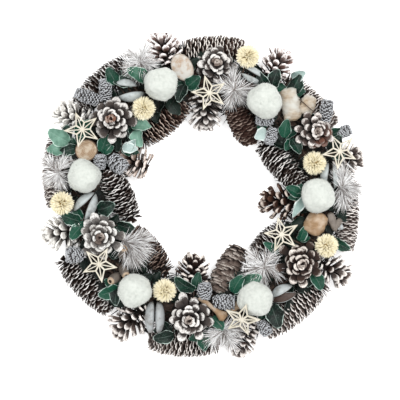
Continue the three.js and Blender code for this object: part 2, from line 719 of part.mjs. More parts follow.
function rosetteAt({ at, width }, i, grow = 0) {
  const lean = spot(at).normalize().multiplyScalar(0.12).add(UP);
  return aimed(rosetteShape(width, grow), spot(at, TOP_START), lean, i);
}

function cottonBallAt({ at }, i, grow = 0) {
  return cottonBallShape(i + 1, grow).translate(at[0], at[1], TOP_START);
}

function spikyHeadAt({ at }, i, grow = 0) {
  return spikyHeadShape(grow).rotateZ(i).translate(at[0], at[1], TOP_START);
}

function starAt({ at, turn, tilt }, i, grow = 0) {
  const star = grow ? starRoom(grow) : starShape();
  const lie = new THREE.Euler(radians(tilt[0]), radians(tilt[1]), radians(turn), 'YXZ');
  star.applyMatrix4(new THREE.Matrix4().makeRotationFromEuler(lie));
  return star.translate(at[0], at[1], TOP_START);
}

// Hidden stem: an arc that lies on the ring between two angles.
function stemArc(radius, startAngle, endAngle, thickness) {
  const steps = Math.max(2, Math.round((endAngle - startAngle) / 12));
  const centres = [];
  const rings = [];
  for (let i = 0; i <= steps; i += 1) {
    const out = heading(startAngle + ((endAngle - startAngle) * i) / steps);
    const centre = out.clone().multiplyScalar(radius).setZ(STEM_HEIGHT);
    centres.push(centre);
    rings.push([0, 1, 2, 3].map((j) => {
      const around = (TAU * j) / 4;
      const across = out.clone().multiplyScalar(Math.sin(around)).addScaledVector(UP, Math.cos(around));
      return centre.clone().addScaledVector(across, thickness / 2);
    }));
  }
  return loft(rings, centres[0], centres[steps]);
}

function angleOf(point, around) {
  let angle = (Math.atan2(point.y, point.x) * 180) / Math.PI;
  while (angle < around - 180) angle += 360;
  while (angle > around + 180) angle -= 360;
  return angle;
}

// Stem that passes under where all the members grow.
function stemUnder(roots, radius, grow = 0) {
  const total = roots.reduce((sum, root) => sum.add(root), new THREE.Vector3());
  const middle = angleOf(total, 180);
  const angles = roots.map((root) => angleOf(root, middle));
  return stemArc(radius, Math.min(...angles) - 1, Math.max(...angles) + 1, STEM_THICKNESS + 2 * grow);
}

const TRIM_SHAPES = {
  pod: podShape,
  seed: seedConeShape,
  chunk: chunkShape,
  stick: stickShape,
};

function trimShape({ kind, at, length, width, turn }, grow = 0) {
  if (kind === 'slice') {
    return sliceShape(length, width, grow).rotateZ(radians(turn)).translate(at[0], at[1], TRIM_HEIGHT + 2);
  }
  if (kind === 'gumnut') {
    return aimed(gumnutShape(length, width, grow), spot(at, TRIM_HEIGHT - length * 0.3), UP);
  }
  const along = heading(turn).addScaledVector(UP, 0.12);
  const start = spot(at, TRIM_HEIGHT).sub(heading(turn).multiplyScalar(length / 2));
  return aimed(TRIM_SHAPES[kind](length, width, grow), start, along);
}

function trimRoot({ at, kind, length }) {
  return spot(at, kind === 'gumnut' ? TRIM_HEIGHT - length * 0.15 : TRIM_HEIGHT + 1);
}

function trimTwig(member, grow = 0) {
  const root = trimRoot(member);
  return rod(stemPoint(root, TRIM_STEM_RADIUS), root, TWIG_THICKNESS, 3, grow);
}

// Picks: each is a hidden stem with the twigs and pieces that grow from it.
const PICKS = [
  ...TRIM_CLUSTERS.map((members, i) => ({
    name: `trim_cluster_${i + 1}`, look: MATERIALS.trim, members, radius: TRIM_STEM_RADIUS,
    rootOf: trimRoot, twigOf: trimTwig, shapeOf: trimShape,
  })),
  ...LEAFY_STEMS.map((members, i) => ({
    name: `leafy_stem_${i + 1}`, look: MATERIALS.leaf, members, radius: LEAF_STEM_RADIUS,
    rootOf: leafGrip, twigOf: leafStalk, shapeOf: leafShape,
  })),
];

// The stems and twigs come before the pieces on top, which then rest on them.
function placeStems() {
  for (const pick of PICKS) {
    const { members, rootOf, twigOf, radius } = pick;
    const make = (grow) => joined([
      stemUnder(members.map(rootOf), radius, grow),
      ...members.map((one) => twigOf(one, grow)),
    ].map(toSolid));
    const others = PICKS.map(({ stemRoom }) => stemRoom).filter(Boolean);
    pick.stem = largestBody(cutBy(make(0), [...rooms, ...others]));
    pick.stemRoom = make(GAP);
    solids.push(pick.stemRoom);
  }
}

function placeMembers() {
  for (const pick of PICKS) {
    const others = PICKS.filter((other) => other !== pick).map(({ stemRoom }) => stemRoom);
    const cutters = [...rooms, ...others];
    const pieces = pick.members.map((one) => cutBy(toSolid(pick.shapeOf(one)), cutters));
    const body = largestBody(joined([pick.stem, ...pieces]));
    rooms.push(pick.stemRoom, ...pick.members.map((one) => toSolid(pick.shapeOf(one, GAP))));
    addNode(pick.name, body, pick.look);
  }
}

// Needle sprays fill the last gaps, each on its own wire from the ring.
function placeSprays() {
  NEEDLE_SPRAYS.forEach((spray, i) => {
    const wire = toSolid(wireTo(spot(spray.at, SPRAY_HEIGHT)));
    const needles = toSolid(sprayShape(spray, i + 1).translate(spray.at[0], spray.at[1], SPRAY_HEIGHT));
    const body = largestBody(cutBy(needles.add(wire), rooms));
    rooms.push(body);
    addNode(`needle_spray_${i + 1}`, body, MATERIALS.needle);
  });
}

// The origin goes to the middle of the wreath's underside.
function moveOrigin() {
  const bounds = new THREE.Box3().setFromObject(wreath);
  const middle = bounds.getCenter(new THREE.Vector3());
  wreath.children.forEach((mesh) => mesh.geometry.translate(-middle.x, -middle.y, -bounds.min.z));
}

placeRing();
placeCones('outer_cones', OUTER_CONES, MATERIALS.cone, -1);
placeCones('inner_cones', INNER_CONES, MATERIALS.innerCone, 1);
placeStems();
lowerPieces('frosted_rosette', ROSETTES, MATERIALS.rosette, rosetteAt);
lowerPieces('cotton_ball', BALLS, MATERIALS.cotton, cottonBallAt);
lowerPieces('spiky_head', HEADS, MATERIALS.head, spikyHeadAt, HEAD_HEIGHT);
lowerPieces('wooden_star', STARS, MATERIALS.starWood, starAt, STAR_HEIGHT);
placeMembers();
placeSprays();
moveOrigin();

export default wreath;
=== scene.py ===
# %% [markdown]
# # Pinecone wreath
#
# The wreath lies flat on its base ring. The frame holds one simple solid for each part of it, and this
# lesson dresses each of those solids with the cone, leaf, pod or star that it stands for. All lengths in
# the layout are millimetres from the middle of the hole, seen from above, as on a florist's plan.

# %% Load the frame
import math
import random

import bpy
from mathutils import Matrix, Vector, noise


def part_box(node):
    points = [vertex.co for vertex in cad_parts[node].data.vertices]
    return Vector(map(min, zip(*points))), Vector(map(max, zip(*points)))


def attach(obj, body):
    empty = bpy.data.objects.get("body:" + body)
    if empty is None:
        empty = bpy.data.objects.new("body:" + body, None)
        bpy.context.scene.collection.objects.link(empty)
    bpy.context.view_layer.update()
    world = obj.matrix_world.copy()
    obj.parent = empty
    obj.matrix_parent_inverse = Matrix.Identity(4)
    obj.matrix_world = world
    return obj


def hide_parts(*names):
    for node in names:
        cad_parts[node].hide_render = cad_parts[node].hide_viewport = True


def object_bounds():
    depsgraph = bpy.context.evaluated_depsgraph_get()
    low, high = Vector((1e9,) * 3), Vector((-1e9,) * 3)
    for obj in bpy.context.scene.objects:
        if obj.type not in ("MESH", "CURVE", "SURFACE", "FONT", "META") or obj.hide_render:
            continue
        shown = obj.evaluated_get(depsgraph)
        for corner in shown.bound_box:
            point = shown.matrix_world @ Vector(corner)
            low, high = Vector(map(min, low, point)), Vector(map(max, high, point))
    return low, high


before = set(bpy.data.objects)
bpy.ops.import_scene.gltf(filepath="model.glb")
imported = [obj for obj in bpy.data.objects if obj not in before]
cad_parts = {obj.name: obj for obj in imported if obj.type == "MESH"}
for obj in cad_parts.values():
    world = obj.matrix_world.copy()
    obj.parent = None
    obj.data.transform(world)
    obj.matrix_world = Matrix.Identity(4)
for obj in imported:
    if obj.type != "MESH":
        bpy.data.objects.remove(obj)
cad_bounds = [list(corner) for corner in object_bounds()]
MM = 0.001
TAU = math.tau
GOLDEN_TURN = math.radians(137.508)
ring_low, ring_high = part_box("ring_base")
HOLE_X = (ring_low[0] + ring_high[0]) / 2 / MM
HOLE_Y = (ring_low[1] + ring_high[1]) / 2 / MM
print(f"{len(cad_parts)} nodes, the hole's middle is at {HOLE_X:.1f}, {HOLE_Y:.1f} mm")

# %% [markdown]
# ## Mesh helper
#
# Every piece is made of many small curved sheets and rods. One mesh for a whole cone is far quicker than
# one object for each scale, so a small builder collects points and faces. It keeps three numbers for each
# point: how far along its scale or leaf it is, how far across, and a random number that is the same all
# over one scale. The materials read them as attributes, so no two scales look alike.

# %% Mesh builder
class Pile:
    """Collects points and faces, and the numbers that the materials read."""

    def __init__(self):
        self.points, self.faces, self.finish = [], [], []
        self.along, self.across, self.chance = [], [], []

    def add(self, points, faces, along, across, chance, finish=0):
        first = len(self.points)
        self.points.extend(points)
        self.faces.extend([[first + i for i in face] for face in faces])
        self.finish.extend([finish] * len(faces))
        self.along.extend(along)
        self.across.extend(across)
        self.chance.extend([chance] * len(points))

    def make(self, name, *materials, sharp=50):
        mesh = bpy.data.meshes.new(name)
        mesh.from_pydata([(x * MM, y * MM, z * MM) for x, y, z in self.points], [], self.faces)
        for label, values in (("along", self.along), ("across", self.across), ("chance", self.chance)):
            mesh.attributes.new(label, "FLOAT", "POINT").data.foreach_set("value", values)
        for material in materials:
            mesh.materials.append(material)
        mesh.polygons.foreach_set("material_index", self.finish)
        mesh.polygons.foreach_set("use_smooth", [True] * len(mesh.polygons))
        mesh.set_sharp_from_angle(angle=math.radians(sharp))
        piece = bpy.data.objects.new(name, mesh)
        bpy.context.collection.objects.link(piece)
        return piece


def grid_faces(rows, columns, closed=False):
    """Faces between the points of a grid that is stored row by row."""
    last = columns if closed else columns - 1
    return [[r * columns + c, r * columns + (c + 1) % columns,
             (r + 1) * columns + (c + 1) % columns, (r + 1) * columns + c]
            for r in range(rows - 1) for c in range(last)]


def placed(points, matrix):
    return [matrix @ Vector(p) for p in points]


def basis(origin, forward, up):
    """Matrix that sends X along forward and Z as near to up as it goes."""
    x = Vector(forward).normalized()
    y = Vector(up).cross(x)
    if y.length < 1e-6:
        y = Vector((0, 1, 0)).cross(x)
    y.normalize()
    z = x.cross(y)
    return Matrix.Translation(origin) @ Matrix((x, y, z)).transposed().to_4x4()


def on_plan(at, z=0.0):
    """A point of the plan, in the frame's own millimetres."""
    x, y = at[0], at[1]
    return Vector((x + HOLE_X, y + HOLE_Y, at[2] if len(at) > 2 else z))


def heading(degrees):
    return Vector((math.cos(math.radians(degrees)), math.sin(math.radians(degrees)), 0))


print(f"a grid of 3 by 4 points has {len(grid_faces(3, 4))} faces")

# %% [markdown]
# ## Shader helper
#
# A material here is mostly arithmetic on masks: frost where a scale faces up, more of it near the free edge,
# less in the shade at the root. Written with nodes that is long, so a small class wraps a socket and lets
# Python operators add the Math nodes. Any other node comes from one method.

# %% Wrapped sockets
class Value:
    """A shader socket that can be used in Python arithmetic."""

    def __init__(self, tree, socket):
        self.tree, self.socket = tree, socket

    def math(self, operation, *others, clamp=False):
        return self.tree.node("ShaderNodeMath", {"operation": operation, "use_clamp": clamp},
                              [self, *others])[0]

    def __add__(self, other):
        return self.math("ADD", other)

    def __sub__(self, other):
        return self.math("SUBTRACT", other)

    def __mul__(self, other):
        return self.math("MULTIPLY", other)

    def __rsub__(self, other):
        return self.tree.node("ShaderNodeMath", {"operation": "SUBTRACT"}, [other, self])[0]

    __radd__ = __add__
    __rmul__ = __mul__

    def clamped(self):
        return self.math("ADD", 0.0, clamp=True)

    def step(self, low, high):
        """0 below low, 1 above high, smooth between."""
        return self.tree.node("ShaderNodeMapRange", {"interpolation_type": "SMOOTHSTEP"},
                              {0: self, 1: low, 2: high})[0]


class Tree:
    """Node tree of one material, with its Principled shader."""

    def __init__(self, name, roughness=0.8, specular=0.3, **fixed):
        self.material = bpy.data.materials.new(name)
        self.material.use_nodes = True
        self.nodes, self.links = self.material.node_tree.nodes, self.material.node_tree.links
        self.shader = next(n for n in self.nodes if n.type == "BSDF_PRINCIPLED")
        for label, value in {"Roughness": roughness, "Specular IOR Level": specular, **fixed}.items():
            self.shader.inputs[label].default_value = value

    def node(self, kind, settings=None, inputs=()):
        made = self.nodes.new(kind)
        for key, value in (settings or {}).items():
            setattr(made, key, value)
        pairs = inputs.items() if isinstance(inputs, dict) else enumerate(inputs)
        for key, value in pairs:
            if isinstance(value, Value):
                self.links.new(value.socket, made.inputs[key])
            else:
                made.inputs[key].default_value = value
        return [Value(self, socket) for socket in made.outputs if socket.enabled]

    def attribute(self, label):
        return next(v for v in self.node("ShaderNodeAttribute", {"attribute_name": label})
                    if v.socket.name == "Fac")

    def facing_up(self):
        normal = self.node("ShaderNodeNewGeometry")[1]
        return self.node("ShaderNodeSeparateXYZ", None, [normal])[2]

    def place(self):
        return self.node("ShaderNodeTexCoord")[3]

    def noise(self, scale, detail=3.0, where=None):
        return self.node("ShaderNodeTexNoise", None,
                         {"Vector": where or self.place(), "Scale": scale, "Detail": detail})[0]

    def mix(self, amount, first, second):
        out = self.node("ShaderNodeMix", {"data_type": "RGBA"},
                        {0: amount, 6: colour(first), 7: colour(second)})
        return next(v for v in out if v.socket.type == "RGBA")

    def feed(self, label, value):
        self.links.new(value.socket, self.shader.inputs[label])

    def bump(self, height, strength=0.5, distance=0.0006):
        self.feed("Normal", self.node("ShaderNodeBump", None, {
            "Strength": strength, "Distance": distance, "Height": height})[0])


def colour(value):
    """Hex text as a linear colour; wrapped sockets pass through."""
    if isinstance(value, Value):
        return value
    channels = [int(value[i:i + 2], 16) / 255 for i in (0, 2, 4)]
    return (*[c / 12.92 if c <= 0.04045 else ((c + 0.055) / 1.055) ** 2.4 for c in channels], 1)


print("frost white as a linear colour:", [round(c, 3) for c in colour("e6e0db")])

# %% [markdown]
# ## Finishes
#
# The cones are dark brown, and white paint was sprayed or brushed on them from outside. So the frost is on
# the free rims of the scales and on what faces up, and it is broken up by noise. The roots get none of it,
# and their wood is painted darker than the rest of each scale, as painted shade in the gaps between scales.

# %% Cone finishes
MOTTLE, PATCHES = 430, 90
STAIN, BARE_WOOD = "2a1a14", "6c4232"


def frosted_cone(name, root, body, frost, start, cover, speckle=700, soft=0.16, dust=0.0, shade=0.1,
                 ragged=1.0, bare=None):
    """Scales that are dark at the root, frosted on their rims and dusted where they face up.

    The frost begins at the share start of a scale and hides the wood by the share cover. The wood is
    painted darker towards the root, as painted shade in the gaps between the scales, and gets lighter
    from the share shade on. Inside the ball bare, a middle and a radius, there is little frost.
    """
    tree = Tree(name, roughness=0.8, specular=0.25)
    along, chance = tree.attribute("along"), tree.attribute("chance")
    across = tree.attribute("across").math("ABSOLUTE")
    grain = tree.noise(speckle, 4)
    patches = tree.noise(PATCHES, 2)
    rim = along.math("MAXIMUM", across * 0.93)
    up = tree.facing_up().step(-0.5, 0.9)
    reach = rim + ((grain - 0.5) * 0.35 + (patches - 0.5) * 0.3 + (chance - 0.5) * 0.22) * ragged
    mask = (reach.step(start, start + soft) * (up * 0.45 + 0.55) * cover).clamped()
    mask = mask.math("MAXIMUM", reach.step(0.25, 0.85) * up * (patches * 0.8 + 0.6) * dust)
    mask = mask * (tree.noise(MOTTLE, 3).step(0.34, 0.56) * 0.42 + 0.58)
    # Painted shade: each scale runs from the dark root colour to the body colour, for the shade between
    # scales.
    wood = tree.mix(along.step(shade, 0.95), root, body)
    wood = tree.mix((chance * 0.35 + patches * 0.25).clamped(), wood, STAIN)
    if bare:
        centre, radius = bare
        away = tree.node("ShaderNodeVectorMath", {"operation": "DISTANCE"}, [tree.place(), centre])[0]
        kept = away.step(radius * 0.5, radius)
        wood = tree.mix((1 - kept) * along.step(0.3, 0.9), wood, BARE_WOOD)
        mask = mask * (kept * 0.8 + 0.2)
    tree.feed("Base Color", tree.mix(mask, wood, frost))
    tree.feed("Roughness", 0.72 + mask * 0.2)
    tree.bump(grain + patches * 0.5, 0.6, 0.0008)
    return tree.material


FINE_RIM = {"ragged": 0.7}
SPRUCE = frosted_cone("spruce_scales", "080504", "2e211b", "e0ddda", 0.89, 0.98, **FINE_RIM)
BARE_SPRUCE = frosted_cone("bare_spruce_scales", "090403", "331f18", "c2aea1", 0.9, 0.52, **FINE_RIM)
UMBER_SPRUCE = frosted_cone("umber_spruce_scales", "0a0504", "3d281f", "cdbbae", 0.9, 0.7, **FINE_RIM)
BROWN_SPRUCE = frosted_cone("brown_spruce_scales", "0e0806", "4a382f", "e6e0d9", 0.87, 0.96, **FINE_RIM)
FROSTED_SPRUCE = frosted_cone("frosted_spruce_scales", "0e0806", "443128", "e6e0db", 0.86, 1.0, dust=0.12,
                              **FINE_RIM)
CLOSED_SPRUCE = frosted_cone("closed_spruce_scales", "140d0a", "4a3a32", "cdc3ba", 0.88, 0.62, dust=0.12,
                             ragged=1.3)
OPEN_PINE = frosted_cone("open_pine_scales", "070303", "40291f", "e4ded9", 0.74, 0.95, soft=0.2, dust=0.12,
                         shade=0.3)
PALE_PINE = frosted_cone("pale_pine_scales", "0a0706", "5b4c42", "e8e6e1", 0.54, 0.98, soft=0.24, dust=0.58,
                         shade=0.25)
SHADED_PINE = frosted_cone("shaded_pine_scales", "020101", "30251f", "e2dfdb", 0.8, 0.95, soft=0.2, dust=0.05,
                           shade=0.5)
DARK_PINE = frosted_cone("dark_pine_scales", "050302", "2c1b14", "e6ddd5", 0.84, 0.88, soft=0.14)
WARM_PINE = frosted_cone("warm_pine_scales", "0c0503", "6a3a24", "ebe5e3", 0.72, 0.98, soft=0.18, dust=0.15,
                         shade=0.22)
FROSTED_PINE = frosted_cone("frosted_pine_scales", "030201", "40352e", "e2e1dd", 0.76, 0.95, soft=0.22,
                            dust=0.16, shade=0.45)
WARM_HEART = frosted_cone("warm_heart_scales", "160a06", "6b4736", "cfc0b5", 0.9, 0.6)
BARE_MIDDLE, BARE_RADIUS = ((150 + HOLE_X) * MM, (72 + HOLE_Y) * MM, 0.055), 0.022
HALF_BARE_PINE = frosted_cone("half_bare_pine_scales", "040201", "3a2820", "e0dad5", 0.8, 0.95, soft=0.2,
                              dust=0.05, shade=0.5, bare=(BARE_MIDDLE, BARE_RADIUS))
LIGHT_PINE = frosted_cone("light_pine_scales", "1a110c", "8e7261", "e0d6cf", 0.78, 0.92, soft=0.22, dust=0.4,
                          shade=0.2)
GREY_PINE = frosted_cone("grey_pine_scales", "0a0605", "46372f", "ddd8d4", 0.72, 0.95, soft=0.22, dust=0.18,
                         shade=0.3)
BROWN_PINE = frosted_cone("brown_pine_scales", "060302", "40261a", "dccfc4", 0.91, 0.74, soft=0.14, shade=0.3)
DEEP_PINE = frosted_cone("deep_pine_scales", "020101", "33241c", "e2d9d1", 0.83, 0.94, soft=0.19, shade=0.5)
GREY_SEED = frosted_cone("grey_seed_scales", "0f0e0e", "464545", "bcbfc3", 0.74, 0.85, speckle=1500,
                         dust=0.15)
print(f"{len(bpy.data.materials)} materials after the cone finishes")

# %% [markdown]
# The cotton is almost white, with soft grey-green shade between its tufts. The dried heads are pale yellow
# at their tips and painted straw brown towards the roots of the bracts, as painted shade deep between them.
# Leaves are preserved: deep green or blue green, a paler rib, side veins, and a white edge where the frost
# paint caught them.

# %% Soft and leafy finishes
def cotton_finish():
    tree = Tree("cotton_wool", roughness=0.95, specular=0.1, **{"Sheen Weight": 0.3})
    fluff = tree.noise(260, 5)
    tree.feed("Base Color", tree.mix(fluff.step(0.2, 0.8), "b0b4ae", "bcbfb9"))
    tree.bump(fluff + tree.noise(900, 3) * 0.5, 0.4, 0.001)
    return tree.material


def dried_head_finish():
    tree = Tree("dried_bracts", roughness=0.85, specular=0.2)
    along, chance = tree.attribute("along"), tree.attribute("chance")
    straw = tree.mix(chance, "ded5b6", "ebe5d0")
    # Painted shade: the bracts turn brown towards their roots, deep between them where shade falls.
    tree.feed("Base Color", tree.mix(along.step(0.0, 0.6), "8a7444", straw))
    tree.bump(tree.noise(900, 3), 0.4, 0.0004)
    return tree.material


def leaf_finish(name, deep, fresh, bloom, rim_start=0.8):
    tree = Tree(name, roughness=0.7, specular=0.18)
    along, chance = tree.attribute("along"), tree.attribute("chance")
    across = tree.attribute("across").math("ABSOLUTE")
    blotch = tree.noise(120, 4)
    veins = (along * 38 - across * 14).math("SINE").step(0.8, 1.0)
    rib = 1 - across.step(0.02, 0.09)
    rim = along.step(0.95, 1.02).math("MAXIMUM", (across + (blotch - 0.5) * 0.4).step(rim_start, 1.0))
    green = tree.mix((blotch * 0.7 + chance * 0.5).step(0.25, 0.95), deep, fresh)
    green = tree.mix((veins * 0.02).math("MAXIMUM", rib * 0.08), green, bloom)
    dust = tree.noise(700, 2).step(0.55, 0.8) * 0.12
    tree.feed("Base Color", tree.mix((rim * 0.85).math("MAXIMUM", dust), green, bloom))
    tree.feed("Roughness", 0.5 + rim * 0.35)
    tree.bump(veins * 0.4 + rib + blotch * 0.6, 0.5, 0.0005)
    return tree.material


COTTON = cotton_finish()
BRACTS = dried_head_finish()
DARK_LEAF = leaf_finish("dark_frosted_leaf", "020a07", "0c4230", "bccdc5", 0.9)
# Painted shade: the shaded leaves are nearly black, for the shade in the gaps under the cones.
SHADE_LEAF = leaf_finish("shaded_leaf", "020503", "061a12", "6f7d77", 0.97)
GREEN_LEAF = leaf_finish("green_leaf", "214b39", "759989", "c2d6cb", 0.9)
PALE_LEAF = leaf_finish("pale_frosted_leaf", "7a8f8a", "a4b3b0", "dfe6e3", 0.6)
print(f"{len(bpy.data.materials)} materials after cotton, heads and leaves")

# %% [markdown]
# Pods are silvered, so their colour is a cool grey with a brown inside. Bare wood shows grain along its
# length and a little grey weathering. The stars are cut from pale board.

# %% Wood, pod and needle finishes
def grained_wood(name, light, dark, stretch, scale, weather, grey, patches=70):
    """Grain drawn out by stretch, with grey weathered patches over it."""
    tree = Tree(name, roughness=0.75, specular=0.25)
    where = tree.node("ShaderNodeMapping", None, {"Vector": tree.place(), "Scale": stretch})[0]
    grain = tree.noise(scale, 6, where)
    patch = tree.noise(patches, 3)
    wood = tree.mix(grain.step(0.3, 0.7), light, dark)
    tree.feed("Base Color", tree.mix(patch.step(0.38, 0.66) * grey, wood, weather))
    tree.bump(grain, 0.4, 0.0006)
    return tree.material


def cut_slice_finish(name, dark, light, weather, grey, bark, bleached=(0.42, 0.62)):
    """Rings round the heart of a cut branch, and bark on its side."""
    tree = Tree(name, roughness=0.8, specular=0.2)
    along, across = tree.attribute("along"), tree.attribute("across")
    wobble = tree.noise(150, 4)
    rings = (across * 42 + wobble * 7).math("SINE").step(-0.6, 0.9)
    wood = tree.mix(rings, dark, light)
    wood = tree.mix(tree.noise(110, 4).step(*bleached) * grey, wood, weather)
    tree.feed("Base Color", tree.mix(along.step(0.45, 0.55), wood, bark))
    tree.bump(rings * 0.3 + wobble, 0.4, 0.0005)
    return tree.material


def pod_finish(name, shell, shade):
    tree = Tree(name, roughness=0.5, specular=0.5, Metallic=0.15)
    across = tree.attribute("across").math("ABSOLUTE")
    along = tree.attribute("along")
    mottle = tree.noise(160, 5)
    ends = (along - 0.5).math("ABSOLUTE").step(0.36, 0.5)
    dark = (mottle.step(0.45, 0.75) * 0.7).math("MAXIMUM", ends * 0.6)
    tree.feed("Base Color", tree.mix(dark, shell, shade))
    tree.feed("Roughness", 0.45 + mottle * 0.3)
    tree.bump(mottle + across * 0.4, 0.4, 0.0005)
    return tree.material


def needle_finish():
    tree = Tree("frosted_needles", roughness=0.85, specular=0.2)
    along, chance = tree.attribute("along"), tree.attribute("chance")
    frost = tree.mix(chance.step(0.2, 0.5), "7d7672", "ececec")
    crust = tree.noise(900, 3)
    tree.feed("Base Color", tree.mix((along * 1.2 + crust).step(0.45, 1.0), "8f8885", frost))
    tree.bump(crust, 0.5, 0.0004)
    return tree.material


STAR_WOOD = grained_wood("star_board", "c2bdb0", "b0a997", (400, 60, 60), 3.0, "d2cec3", 0.3)
DRIFTWOOD = grained_wood("driftwood", "a49581", "857058", (25, 90, 90), 5.0, "b6b7b1", 0.92, 42)
TAN_WOOD = grained_wood("tan_wood", "957b60", "80664a", (30, 70, 70), 4.0, "b8ab9b", 0.6)
VINE = grained_wood("vine_bark", "3b2a1f", "150d09", (80, 80, 80), 5.0, "5c5048", 0.3)
# Painted shade: the moss is nearly black, to stand for the shade in the gaps between the cones.
SHADE_MOSS = grained_wood("shade_dark_moss", "14100d", "060504", (90, 90, 90), 5.0, "16211b", 0.6)
CUT_BRANCH = cut_slice_finish("cut_branch", "85705a", "94806a", "b3a796", 0.7, "5b4a3d")
BLEACHED_BRANCH = cut_slice_finish("bleached_branch", "94806d", "a08b78", "b2b0aa", 0.95, "8d857b",
                                   bleached=(0.3, 0.58))
SILVER_POD = pod_finish("silvered_pod", "a0a6a6", "6a6864")
WEATHERED_POD = pod_finish("weathered_pod", "95999a", "5d554f")
POD_INSIDE = pod_finish("pod_inside", "3a2a22", "1e1410")
GUMNUT = pod_finish("gumnut_shell", "6a625a", "352d27")
NEEDLES = needle_finish()
print(f"{len(bpy.data.materials)} materials after wood, pods and needles")

# %% [markdown]
# ## One scale
#
# A cone is a spiral of woody scales. Each is a thin spoon: narrow where it joins the core, broad near its
# free end, thicker at the rim, with a slight curl. It is made as a grid of points on top and another below,
# joined round the free edge, so it is a closed sheet of real thickness and catches light on its rim.

# %% Scale of a cone
def sheet_faces(rows, columns):
    """Top grid, bottom grid, and the wall between them round all sides but the root."""
    size = rows * columns
    top = grid_faces(rows, columns)
    bottom = [[size + i for i in reversed(face)] for face in top]
    border = [r * columns for r in range(rows)]
    border += [(rows - 1) * columns + c for c in range(1, columns)]
    border += [r * columns + columns - 1 for r in range(rows - 2, -1, -1)]
    wall = [[a, b, size + b, size + a] for a, b in zip(border, border[1:])]
    return top + bottom + [list(reversed(face)) for face in wall]


class ScaleShape:
    """Outline of a scale as pairs of (share of length, share of width), and its grid."""

    def __init__(self, outline, across):
        self.outline, self.across = outline, across
        self.faces = sheet_faces(len(outline), len(across))


BROAD = ScaleShape(((0.0, 0.3), (0.45, 0.58), (0.76, 0.94), (0.92, 0.96), (1.0, 0.6)),
                   (-1.0, -0.45, 0.45, 1.0))
FINE = ScaleShape(((0.0, 0.4), (0.55, 0.85), (0.88, 1.0), (1.0, 0.66)), (-1.0, 0.0, 1.0))
print(f"a broad scale has {len(BROAD.faces)} faces, a fine one {len(FINE.faces)}")


def add_scale(pile, matrix, shape, length, width, thick, curl, cup, chance, finish=0):
    tops, bottoms, along, across = [], [], [], []
    for t, share in shape.outline:
        for v in shape.across:
            bow = curl * length * t * t + cup * width * share * v * v
            x = length * (t - 0.06 * v * v * t)
            depth = thick * (0.35 + 0.65 * t * t)
            tops.append((x, 0.5 * width * share * v, bow + depth / 2))
            bottoms.append((x, 0.5 * width * share * v, bow - depth / 2))
            along.append(t)
            across.append(v * share)
    pile.add(placed(tops + bottoms, matrix), shape.faces, along * 2, across * 2, chance, finish)

# %% [markdown]
# ## One cone
#
# The scales follow the golden angle, as on a real cone, which gives the slanting rows by itself. Each kind
# of cone says how far its scales reach at a share of its length, how steeply they stand, and how many there
# are. The core under them is a plain dark spindle: a stack of rings with a lid on each end.

# %% Cone builder
CORE_LENGTH, SCALED_LENGTH, ROOT_DEPTH = 0.97, 0.96, 0.8
THINNEST_CORE, SHORTEST_SCALE = 0.3, 1.5
LEAST_SINE, LEAST_COSINE = 0.35, 0.12
SCALE_WIDTHS = (0.9, 1.08)


def tube_faces(rows, sides):
    """Walls of a stack of rings, then a lid for each end."""
    walls = [list(reversed(face)) for face in grid_faces(rows, sides, closed=True)]
    return walls + [list(range(sides)), [(rows - 1) * sides + c for c in reversed(range(sides))]]


def add_spindle(pile, matrix, length, radius_at, chance=0.5, finish=0, sides=10, rows=7):
    points = []
    for r in range(rows):
        s = r / (rows - 1)
        for c in range(sides):
            turn = TAU * c / sides
            points.append((s * length, radius_at(s) * math.cos(turn), radius_at(s) * math.sin(turn)))
    root = [0.0] * len(points)
    pile.add(placed(points, matrix), tube_faces(rows, sides), root, root, chance, finish)


def add_cone(pile, start, axis, length, reach_at, tilt_at, width_at, count, thick, curl, cup, draw,
             finish=0, core=0.34, up=(0, 0, 1), phase=0.0, unrest=6, heart=1.0, shape=BROAD, tip=1.04,
             dome=0.0):
    """Scales in a golden spiral round a core.

    They stray by unrest, in degrees. The second finish begins at the share heart of the length. No scale
    reaches further forward than the share tip of it, and dome holds back those that stand wide.
    """
    frame_of = basis(start, axis, up)
    add_spindle(pile, frame_of, length * CORE_LENGTH,
                lambda s: max(THINNEST_CORE, core * reach_at(s)), 0.5, finish)
    for i in range(count):
        s = (i + 0.5) / count
        turn = i * GOLDEN_TURN + phase
        radial = Vector((0, math.cos(turn), math.sin(turn)))
        tilt = math.radians(tilt_at(s) + draw.uniform(-unrest, unrest))
        outward = Vector((math.cos(tilt), 0, 0)) + radial * math.sin(tilt)
        face = Vector((-math.sin(tilt), 0, 0)) + radial * math.cos(tilt)
        reach = reach_at(s) * draw.uniform(1 - unrest / 60, 1.0)
        root = core * reach_at(s) * ROOT_DEPTH
        blade = max(SHORTEST_SCALE, (reach - root) / max(math.sin(tilt), LEAST_SINE))
        front = length * tip * (1 - dome * (1 - math.cos(tilt))) * draw.uniform(1 - dome / 3, 1)
        room = (front - s * length * SCALED_LENGTH) / max(math.cos(tilt), LEAST_COSINE)
        blade = max(SHORTEST_SCALE, min(blade, room))
        origin = Vector((s * length * SCALED_LENGTH, 0, 0)) + radial * root
        width = width_at(s) * draw.uniform(*SCALE_WIDTHS)
        add_scale(pile, frame_of @ basis(origin, outward, face), shape, blade, width, thick, curl, cup,
                  draw.random(), finish + (s > heart))


print(f"the core of a cone has {len(tube_faces(7, 10))} faces")

# %% [markdown]
# ## Kinds of cone
#
# A long spruce cone has many thin scales that stand almost square to its axis, and on a closed one they lie
# on each other. A pine cone has few, thick scales that spread wide open, and a rosette is such a cone that
# faces the viewer. Seed cones are small and dense. In each rule, s is the share of the cone's length, tilts
# are in degrees and reaches in millimetres.

# %% Kinds of cone
SPRUCE_INSET = 0.04


